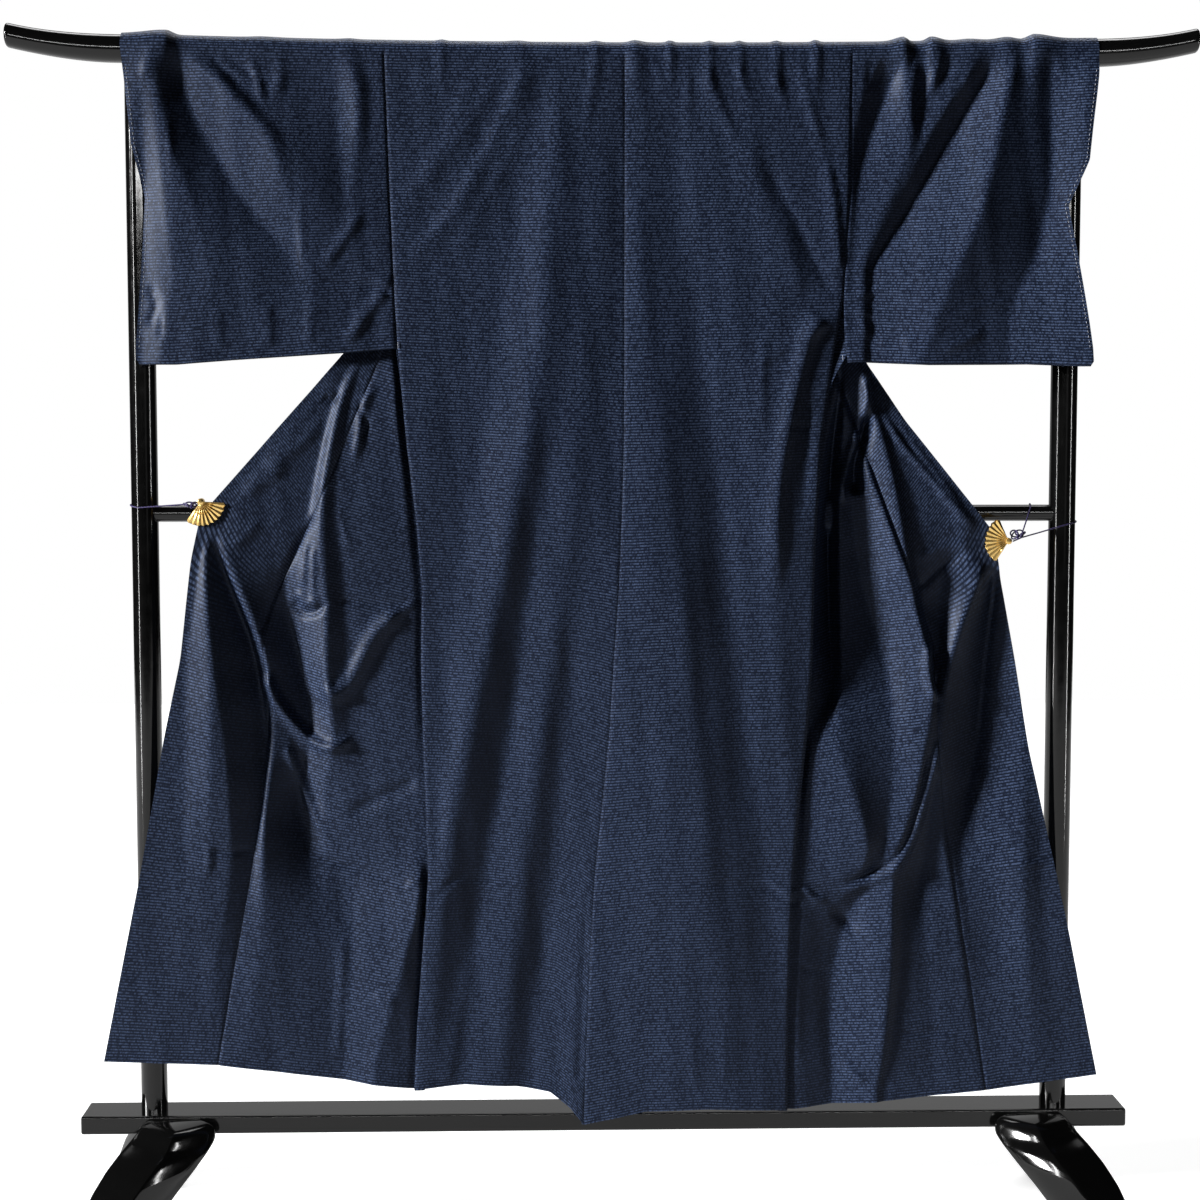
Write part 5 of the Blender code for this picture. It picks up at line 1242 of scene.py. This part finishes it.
def okumiPanel(side):
    # columns from the okumi seam to the outer edge, rows from its tip to the hem
    tip, clip = rowMarks(side)
    s = np.linspace(tip + okumi["belowTip"], 1.0, okumi["rows"])
    inner = pathAt(frontEdge[side], s)
    beforeClip = pathAt(slant[side], np.clip((s - tip) / (clip - tip), 0.0, 1.0))
    pastClip = pathAt(freeEdge[side], np.clip((s - clip) / (1.0 - clip), 0.0, 1.0))
    outer = np.where((s <= clip)[:, None], beforeClip, pastClip)
    w = edgedShares(okumi["columns"], garment["okumiCut"][0])
    x = inner[:, :1] + side * garment["seam"] / 2 + (outer[:, :1] - inner[:, :1]) * w
    z = inner[:, 1:] + (outer[:, 1:] - inner[:, 1:]) * w
    width = np.linalg.norm(outer - inner, axis=1)[:, None]
    y = spreadY(x, z, side) + dipAt(w * width)
    grid = np.stack([x, y, raised(x, z)], axis=-1)
    # above the clip the edge is pulled out and up, and the rows of the weave with it
    pulled = okumi["pulled"] * width * w * (1.0 - above(s[:, None] - clip, okumi["pulledFrom"]))
    uv = np.stack([side * width * w, s[:, None] * garment["weaveLong"] + pulled], axis=-1)
    return withAllowance(grid, uv, 0, -side)


for side, word in sideNames.items():
    panel = clothPiece(f"okumi_{word}", *okumiPanel(side))


# sleeves
sleeve = {
    "wide": 0.35, "columns": 84,
    "down": (0.985, 100), "foot": (0.992, 0.008), "footRows": (0.992, 0.9965, 1.0),
    "pastPost": 0.616, "pastPostAt": (1.43, 0.03),      # the far layer's cuff edge runs inside the post
    "sewnGap": 0.0004, "opens": 0.06,
    "cuffEdge": (0.86, 0.12), "cuffBelow": (1.475, 0.03),      # the two layers meet along the cuff
    "innerEdge": (0.10, 0.10), "innerBelow": (1.31, 0.03),     # and along the lower inner edge
    "overRod": 10,
}


def sleeveTube(side):
    # a loop round the rod for each column from the body seam to the cuff: over the rod, down, round the
    # bottom fold and up behind
    u = edgedShares(sleeve["columns"], sleeve["wide"])[:, None]
    top = stand["rodHeight"]
    xMid = sleeveIn[side][0][1] * (1.0 - u) + sleeveOut[side][0][1] * u
    bottom = tableAt(sleeveBottom[side], xMid)
    t = np.concatenate([np.linspace(0.0, *sleeve["down"]), sleeve["footRows"]])
    z = top - (top - bottom) * t
    inner = tableAt(sleeveIn[side], z) + side * garment["seam"] / 2
    outer = tableAt(sleeveOut[side], z)
    pastPost = side * np.minimum(np.abs(outer), sleeve["pastPost"])
    postZ, postEase = sleeve["pastPostAt"]
    outerFar = outer + (pastPost - outer) * smooth((z - postZ) / postEase + 0.5)
    x, xFar = inner + (outer - inner) * u, inner + (outerFar - inner) * u
    # hollow: the rod's width at the top, sewn shut at the bottom and at both lower edges
    sewn = garment["wall"] + sleeve["sewnGap"]
    opened = sewn + (rodGap(z) - sewn) * smooth((z - bottom) / sleeve["opens"])
    cuff = above(u, sleeve["cuffEdge"]) * below(z, sleeve["cuffBelow"])
    inside = below(u, sleeve["innerEdge"]) * below(z, sleeve["innerBelow"])
    shut = np.clip(cuff + inside, 0.0, 1.0)
    gap = opened + (sewn - opened) * shut
    foot = np.sqrt(1.0 - np.clip((t - sleeve["foot"][0]) / sleeve["foot"][1], 0.0, 1.0) ** 2)
    y = backY(x, z) + dipAt(u * sleeve["wide"]) + 0.5 * gap * (1.0 - foot)
    near = np.stack([x, y, raised(x, z)], axis=-1)
    yFar = farY(xFar, z, gap=gap, loose=1.0 - shut) - 0.5 * gap * (1.0 - foot)
    far = np.stack([xFar, yFar, raised(xFar, z)], axis=-1)
    far[:, 0, 1] = garment["onRod"]
    angles = np.linspace(0.0, math.pi / 2, sleeve["overRod"])
    over = [overRod(x[:, 0], angle, -1) for angle in angles[:-1]]
    back = [overRod(x[:, 0] + (xFar[:, 0] - x[:, 0]) * np.sin(angle), angle, 1) for angle in angles[:0:-1]]
    grid = np.concatenate([np.stack(over, axis=1), near, far[:, -2::-1], np.stack(back[1:], axis=1)], axis=1)
    length = lengthsAlong(grid[len(u) // 2])
    length = np.append(length, 2.0 * length[-1] - length[-2])
    uv = np.stack(np.broadcast_arrays(side * sleeve["wide"] * u, length), axis=-1)
    return grid, uv


for side, word in sideNames.items():
    panel = clothPiece(f"sleeve_{word}", *sleeveTube(side), closed=True)


# basting stitches along the cuffs, and the tacks at the sleeves' inner bottom corners
stitches = {
    "long": 0.0026, "pitch": 0.0061, "uneven": (0.0008, 91.0), "radius": 0.00032, "sides": 6,
    "inset": 0.0042, "low": 1.232, "high": 1.598, "proud": 0.0009, "tackProud": 0.0012,
    "tacks": {-1: ((-0.2853, 1.2385), (-0.2848, 1.2300)), 1: ((0.3229, 1.2215), (0.3234, 1.2150))},
}


def makeStitches(side):
    # short tubes, one for each stitch, laid on the cloth's face along a row of points
    z = np.arange(stitches["low"], stitches["high"], stitches["pitch"])
    z = z + stitches["uneven"][0] * np.sin(stitches["uneven"][1] * z)
    ends = []
    for at in (z, z + stitches["long"]):
        x = tableAt(sleeveOut[side], at) - side * stitches["inset"]
        ends.append(np.stack([x, backY(x, at) - stitches["proud"], raised(x, at)], axis=-1))
    for k, place in enumerate(reversed(stitches["tacks"][side])):
        x, at = np.array([place]).T
        point = np.stack([x, backY(x, at) - stitches["tackProud"], at], axis=-1)
        ends[k] = np.concatenate([ends[k], point])
    run = ends[1] - ends[0]
    sides = stitches["sides"]
    rings = [ringsAbout(end, run, (0.0, 1.0, 0.0), stitches["radius"], sides) for end in ends]
    points = np.stack(rings, axis=1).reshape(-1, 3)
    around = [(k, (k + 1) % sides, (k + 1) % sides + sides, k + sides) for k in range(sides)]
    around += [tuple(range(sides))[::-1], tuple(range(sides, 2 * sides))]
    faces = [tuple(2 * sides * n + v for v in face) for n in range(len(run)) for face in around]
    name = f"stitches_{sideNames[side]}"
    mesh = bpy.data.meshes.new(name)
    mesh.from_pydata(points.tolist(), [], faces)
    turnOutwards(mesh)
    finishPiece(bpy.data.objects.new(name, mesh), "thread", None)


for side in sideNames:
    makeStitches(side)

# collar
collar = {
    "width": 0.058, "thick": 0.0018, "off": 0.0018, "behind": 0.0035,
    "lean": 0.62, "leanOver": 0.16,        # it leans in below the rod, fully from this far down
    "neckSamples": 60, "slantSamples": 120, "overNeck": 42, "columns": 15,
    "probe": 0.012, "probeBelow": 1.60,    # how far round a point the fronts' depth is asked for
    "hangWide": 0.35, "hangDown": 0.05,
}


def collarBand():
    # a folded strip hung from the fronts' edge on their far side, from clip to clip over the neck
    parts = []
    for side in sideNames:
        tip, clip = rowMarks(side)
        s = np.linspace(0.0, tip, collar["neckSamples"])[:-1]
        slanted = pathAt(slant[side], np.linspace(0.0, 1.0, collar["slantSamples"]))
        edge = np.concatenate([pathAt(frontEdge[side], s), slanted])
        x, z = edge[:, 0], edge[:, 1]
        parts.append(np.stack([x, spreadY(x, z, side), raised(x, z)], axis=-1))
    left, right = parts
    t = np.linspace(0.0, 1.0, collar["overNeck"])[1:-1, None]
    edge = np.concatenate([left[::-1], left[0] + (right[0] - left[0]) * t, right])
    centre = (left[0, 0] + right[0, 0]) / 2
    side = np.where(edge[:, :1] > centre, 1.0, -1.0)
    lean = collar["lean"] * smooth((stand["rodHeight"] - edge[:, 2:]) / collar["leanOver"])
    w = np.linspace(0.0, 1.0, collar["columns"])
    px = edge[:, :1] - side * lean * collar["width"] * w
    pz = edge[:, 2:] - np.sqrt(1.0 - lean**2) * collar["width"] * w
    free = np.full(px.shape, -1.0)
    for dx, dz in ((0, 0), (1, 0), (-1, 0), (0, 1), (0, -1)):
        low = np.minimum(pz + dz * collar["probe"], collar["probeBelow"])
        both = [spreadY(px + dx * collar["probe"], low, which) for which in sideNames]
        free = np.maximum(free, np.where(side < 0, both[0], both[1]))
    start = edge[:, 1:2] + collar["off"]
    hang = smooth(w / collar["hangWide"]) * smooth((stand["rodHeight"] - pz) / collar["hangDown"])
    y = start + (free + collar["behind"] - start) * hang
    grid = np.stack([px, y, pz], axis=-1)
    uv = np.stack(np.broadcast_arrays(collar["width"] * w, lengthsAlong(edge)[:, None]), axis=-1)
    return grid, uv


panel = clothPiece("collar", *collarBand(), thickness=collar["thick"])
print("cloth made")

# drop from the rail, way out along x and y, half diagonal of the section set cornerwise
footRows = (
    (-0.022, -0.006, -0.004, 0.036), (-0.019, -0.005, -0.003, 0.046), (-0.010, -0.002, -0.001, 0.054),
    (0.000, 0.002, 0.002, 0.058), (0.012, 0.012, 0.022, 0.060), (0.030, 0.027, 0.045, 0.060),
    (0.056, 0.046, 0.066, 0.057), (0.090, 0.066, 0.086, 0.051), (0.120, 0.082, 0.102, 0.047),
    (0.1327, 0.088, 0.108, 0.045),
)


def roundBar(name, centres, radii, sides, axis):
    # circles of the given radii about centres, square to the named axis
    turn = np.arange(sides) * 2.0 * math.pi / sides
    rings = np.repeat(centres[:, None, :], sides, axis=1)
    first, second = [i for i in range(3) if i != axis]
    rings[:, :, first] += radii[:, None] * np.cos(turn)
    rings[:, :, second] += radii[:, None] * np.sin(turn)
    return gridMesh(name, rings, closed=True, caps=True)


def makeRod():
    # axis along x on the rod's rising line; the radius shrinks towards the tips and the end edges are eased
    half, ease = stand["rodHalf"], stand["rodEase"]
    bend = np.linspace(0.0, math.pi / 2, 7)
    endX = half - ease * (1.0 - np.sin(bend))
    x = np.concatenate([-endX[::-1], np.linspace(-half + ease, half - ease, 241)[1:-1], endX])
    slimmer = stand["tipRadius"] - stand["rodRadius"]
    body = stand["rodRadius"] + slimmer * above(np.abs(x), stand["tipFrom"])
    eased = ease * (1.0 - np.sqrt(1.0 - np.clip((np.abs(x) - half + ease) / ease, 0.0, 1.0) ** 2))
    centres = np.stack([x, np.zeros_like(x), rodZ(x)], axis=-1)
    lacquerPiece("rod", roundBar("rod", centres, body - eased, stand["rodSides"], 0))


def makePost(side):
    # a plain round bar from the rail into the rod
    top = float(rodZ(stand["postX"])) - stand["postInRod"]
    z = np.linspace(stand["railTop"] - stand["postInRail"], top, 40)
    centres = np.stack([np.full_like(z, side * stand["postX"]), np.zeros_like(z), z], axis=-1)
    node = f"post_{sideNames[side]}"
    radii = np.full_like(z, stand["postRadius"])
    lacquerPiece(node, roundBar(node, centres, radii, stand["postSides"], 2))


def makeCrossbar():
    # a plain round bar from post to post
    end = stand["postX"] - stand["barInPost"]
    x = np.linspace(-end, end, 61)
    centres = np.stack([x, np.zeros_like(x), np.full_like(x, stand["barZ"])], axis=-1)
    radii = np.full_like(x, stand["barRadius"])
    lacquerPiece("crossbar", roundBar("crossbar", centres, radii, stand["barSides"], 0))


def makeRail():
    # a flat board whose corners are eased by a bevel
    half, deep = stand["railHalf"], stand["railDepth"] / 2
    ring = np.array([(-half, -deep), (half, -deep), (half, deep), (-half, deep)])
    bottom = stand["railTop"] - stand["railThick"]
    rings = np.stack([np.c_[ring, np.full(4, z)] for z in (bottom, stand["railTop"])])
    rail = lacquerPiece("base_rail", gridMesh("base_rail", rings, closed=True, caps=True))
    edge = rail.modifiers.new("eased edges", "BEVEL")
    edge.width, edge.segments = stand["railEase"], 4
    edge.harden_normals = True


def makeFoot(side, front):
    # a section |a|^n + |b|^n = 1 set cornerwise, carried along the leg's curve outwards to the floor;
    # the front feet lap over the rail's face, the back ones end under it
    curve = footRows if front < 0 else footRows[3:]
    rows = pathAt(curve, np.linspace(0.0, 1.0, stand["footRings"]), 30)
    turn = np.arange(stand["footSides"]) * 2.0 * math.pi / stand["footSides"]
    power = 2.0 / stand["footRound"]
    a = np.sign(np.cos(turn)) * np.abs(np.cos(turn)) ** power
    b = np.sign(np.sin(turn)) * np.abs(np.sin(turn)) ** power
    x = side * (stand["footX"] + rows[:, 1:2]) + rows[:, 3:4] * a
    y = front * (stand["footY"] + rows[:, 2:3]) + rows[:, 3:4] * b
    z = np.maximum(stand["railTop"] - stand["railThick"] - stand["touch"] - rows[:, :1], 0.0) + 0.0 * x
    place = "front" if front < 0 else "back"
    node = f"foot_{place}_{sideNames[side]}"
    lacquerPiece(node, gridMesh(node, np.stack([x, y, z], axis=-1), closed=True, caps=True))


makeRod()
makeCrossbar()
makeRail()
for side in sideNames:
    makePost(side)
    for front in (-1, 1):
        makeFoot(side, front)
print("stand made")


# clips
def makeClip(side):
    # two pleated fans, y = a triangle wave of the angle that grows with the radius, a raised arc across the
    # pleats, and a turned pin through both at the hinge
    hinge, ribs = np.array(clipFan["hinge"][side]), clipFan["ribs"]
    share = np.linspace(0.0, 1.0, ribs * clipFan["stepsPerRib"] + 1)
    angle = math.radians(clipFan["turn"][side]) + math.radians(clipFan["spread"]) * (share - 0.5)
    wave = np.abs(((share * ribs) % 1.0) * 2.0 - 1.0)
    reach = np.linspace(clipFan["inner"], 1.0, clipFan["rings"])[:, None]
    radius = reach * (clipFan["radius"] * (1.0 - clipFan["scallop"] * wave))
    x = hinge[0] + radius * np.cos(angle)
    z = hinge[1] + radius * np.sin(angle)
    arc = clipFan["bandRise"] * ((reach > clipFan["band"][0]) & (reach < clipFan["band"][1]))
    rise = clipFan["rib"] * (1.0 - wave) * smooth(reach * clipFan["ribIn"]) + arc
    name = f"clip_{sideNames[side]}"
    work = bmesh.new()
    for where, way in ((clipFan["front"][side], -1.0), (clipFan["behind"][side], 1.0)):
        skin = np.stack([x, where + way * (clipFan["plate"] + rise), z], axis=-1)
        under = np.stack([x, np.full_like(x, where), z], axis=-1)
        loop = np.concatenate([skin, under[:, ::-1]], axis=1)
        mesh = gridMesh(name, loop, closed=True, caps=True)
        work.from_mesh(mesh)
        bpy.data.meshes.remove(mesh)
    low = clipFan["front"][side] - clipFan["barrelFront"]
    high = clipFan["behind"][side] + clipFan["barrelBehind"]
    along = np.array([low, low + 0.0003, low + 0.001, low + 0.0018, high - 0.001, high - 0.0003, high])
    size = np.array([0.35, 0.72, 0.95, 1.0, 1.0, 0.8, 0.45]) * clipFan["barrel"]
    centres = np.stack([np.full_like(along, hinge[0]), along, np.full_like(along, hinge[1])], axis=-1)
    mesh = roundBar(name, centres, size, clipFan["barrelSides"], 1)
    work.from_mesh(mesh)
    bmesh.ops.recalc_face_normals(work, faces=work.faces)
    work.to_mesh(mesh)
    work.free()
    mesh.shade_smooth()
    sharpen(mesh, 28.0)
    finishPiece(bpy.data.objects.new(name + "_gilt", mesh), "gilt", [name])


for side in sideNames:
    makeClip(side)
print("clips made")

# knots: a tangle of small loops where a cord meets its clip
knots = {
    "radius": 0.0011, "wide": 0.0105, "deep": 0.0042, "high": {-1: 0.0040, 1: 0.0064},
    "centre": {-1: (-0.5702, -0.0402, 1.0168), 1: (0.5700, -0.0398, 0.9748)},
    "samples": 220, "sides": 10,
}


def makeKnot(side):
    # a closed line with two to five turns along x, y and z, swept with a circle
    t = np.linspace(0.0, 2.0 * math.pi, knots["samples"], endpoint=False)
    across = 0.62 * np.sin(2.0 * t) + 0.38 * np.sin(5.0 * t + 0.4)
    up = 0.6 * np.cos(5.0 * t) + 0.4 * np.sin(3.0 * t + 1.0)
    path = np.stack([side * knots["wide"] * across, knots["deep"] * np.cos(3.0 * t),
                     knots["high"][side] * up], axis=-1)
    path += knots["centre"][side]
    run = np.roll(path, -1, axis=0) - np.roll(path, 1, axis=0)
    rings = ringsAbout(path, run, (0.31, 0.88, 0.36), knots["radius"], knots["sides"])
    name = f"knot_{sideNames[side]}"
    mesh = gridMesh(name, np.concatenate([rings, rings[:1]]), closed=True)
    turnOutwards(mesh)
    finishPiece(bpy.data.objects.new(name, mesh), "cord", None)


for side in sideNames:
    makeKnot(side)
print("knots made")

# floor and lights
studio = {
    "floorHalf": 5.8, "floorSteps": 9, "floorBelow": 0.0002, "world": 1.0,
    # name: place, target, width, height, watts
    "lights": {
        "key": ((-26.0, -7.6, 7.9), (0.0, 0.0, 0.95), 3.8, 4.8, 15900.0),
        "fill": ((2.0, -5.0, 1.6), (0.0, 0.0, 0.9), 1.2, 2.0, 2.0),
        "top": ((0.0, 1.3, 3.8), (0.0, 0.5, 0.0), 3.0, 1.0, 60.0),
        "back": ((0.0, 6.0, 2.6), (0.0, 0.0, 0.9), 12.0, 5.0, 110.0),
    },
    # strips of light that show in the lacquer alone, as crisp streaks
    "strips": {
        "strip left": ((-3.7, -2.1, 1.1), (0.0, 0.0, 1.0), 0.13, 3.2, 110.0),
        "strip right": ((3.5, -1.7, 1.1), (0.0, 0.0, 1.0), 0.09, 3.2, 80.0),
        "strip high": ((0.0, -6.0, 2.2), (0.0, 0.0, 1.5), 6.0, 0.16, 170.0),
    },
}


def makeFloor():
    # a flat sheet of pale paper; its bounce isn't let onto the cloth, which hangs well above it
    y = x = np.linspace(-studio["floorHalf"], studio["floorHalf"], studio["floorSteps"])
    grid = np.stack(np.broadcast_arrays(x[None, :], y[:, None], -studio["floorBelow"]), axis=-1)
    mesh = gridMesh("studio_floor", grid)
    mesh.flip_normals()
    mesh.materials.append(finishes["paper"])
    floor = bpy.data.objects.new("studio_floor", mesh)
    floor.visible_diffuse = False
    scene.collection.objects.link(floor)


def makeLight(name, place, target, width, height, watts):
    data = bpy.data.lights.new(name, "AREA")
    data.shape = "RECTANGLE"
    data.size, data.size_y, data.energy = width, height, watts
    light = bpy.data.objects.new(name, data)
    light.location = place
    away = np.array(place) - np.array(target)
    flat = math.hypot(away[0], away[1])
    light.rotation_euler = (math.atan2(flat, away[2]), 0.0, math.atan2(away[0], -away[1]))
    light.visible_camera = False
    scene.collection.objects.link(light)
    return light


def makeWorld():
    # white all round for the camera alone; it doesn't light the cloth
    world = bpy.data.worlds.new("studio")
    world.use_nodes = True
    feed(world.node_tree, world.node_tree.nodes["Background"],
         {"Color": (1.0, 1.0, 1.0, 1.0), "Strength": studio["world"]})
    world.cycles_visibility.diffuse = False
    world.cycles_visibility.glossy = False
    scene.world = world


makeFloor()
for name, lamp in studio["lights"].items():
    makeLight(name, *lamp)
for name, lamp in studio["strips"].items():
    makeLight(name, *lamp).light_linking.receiver_collection = shining
makeWorld()
scene.view_settings.view_transform = "Standard"
print("studio set")
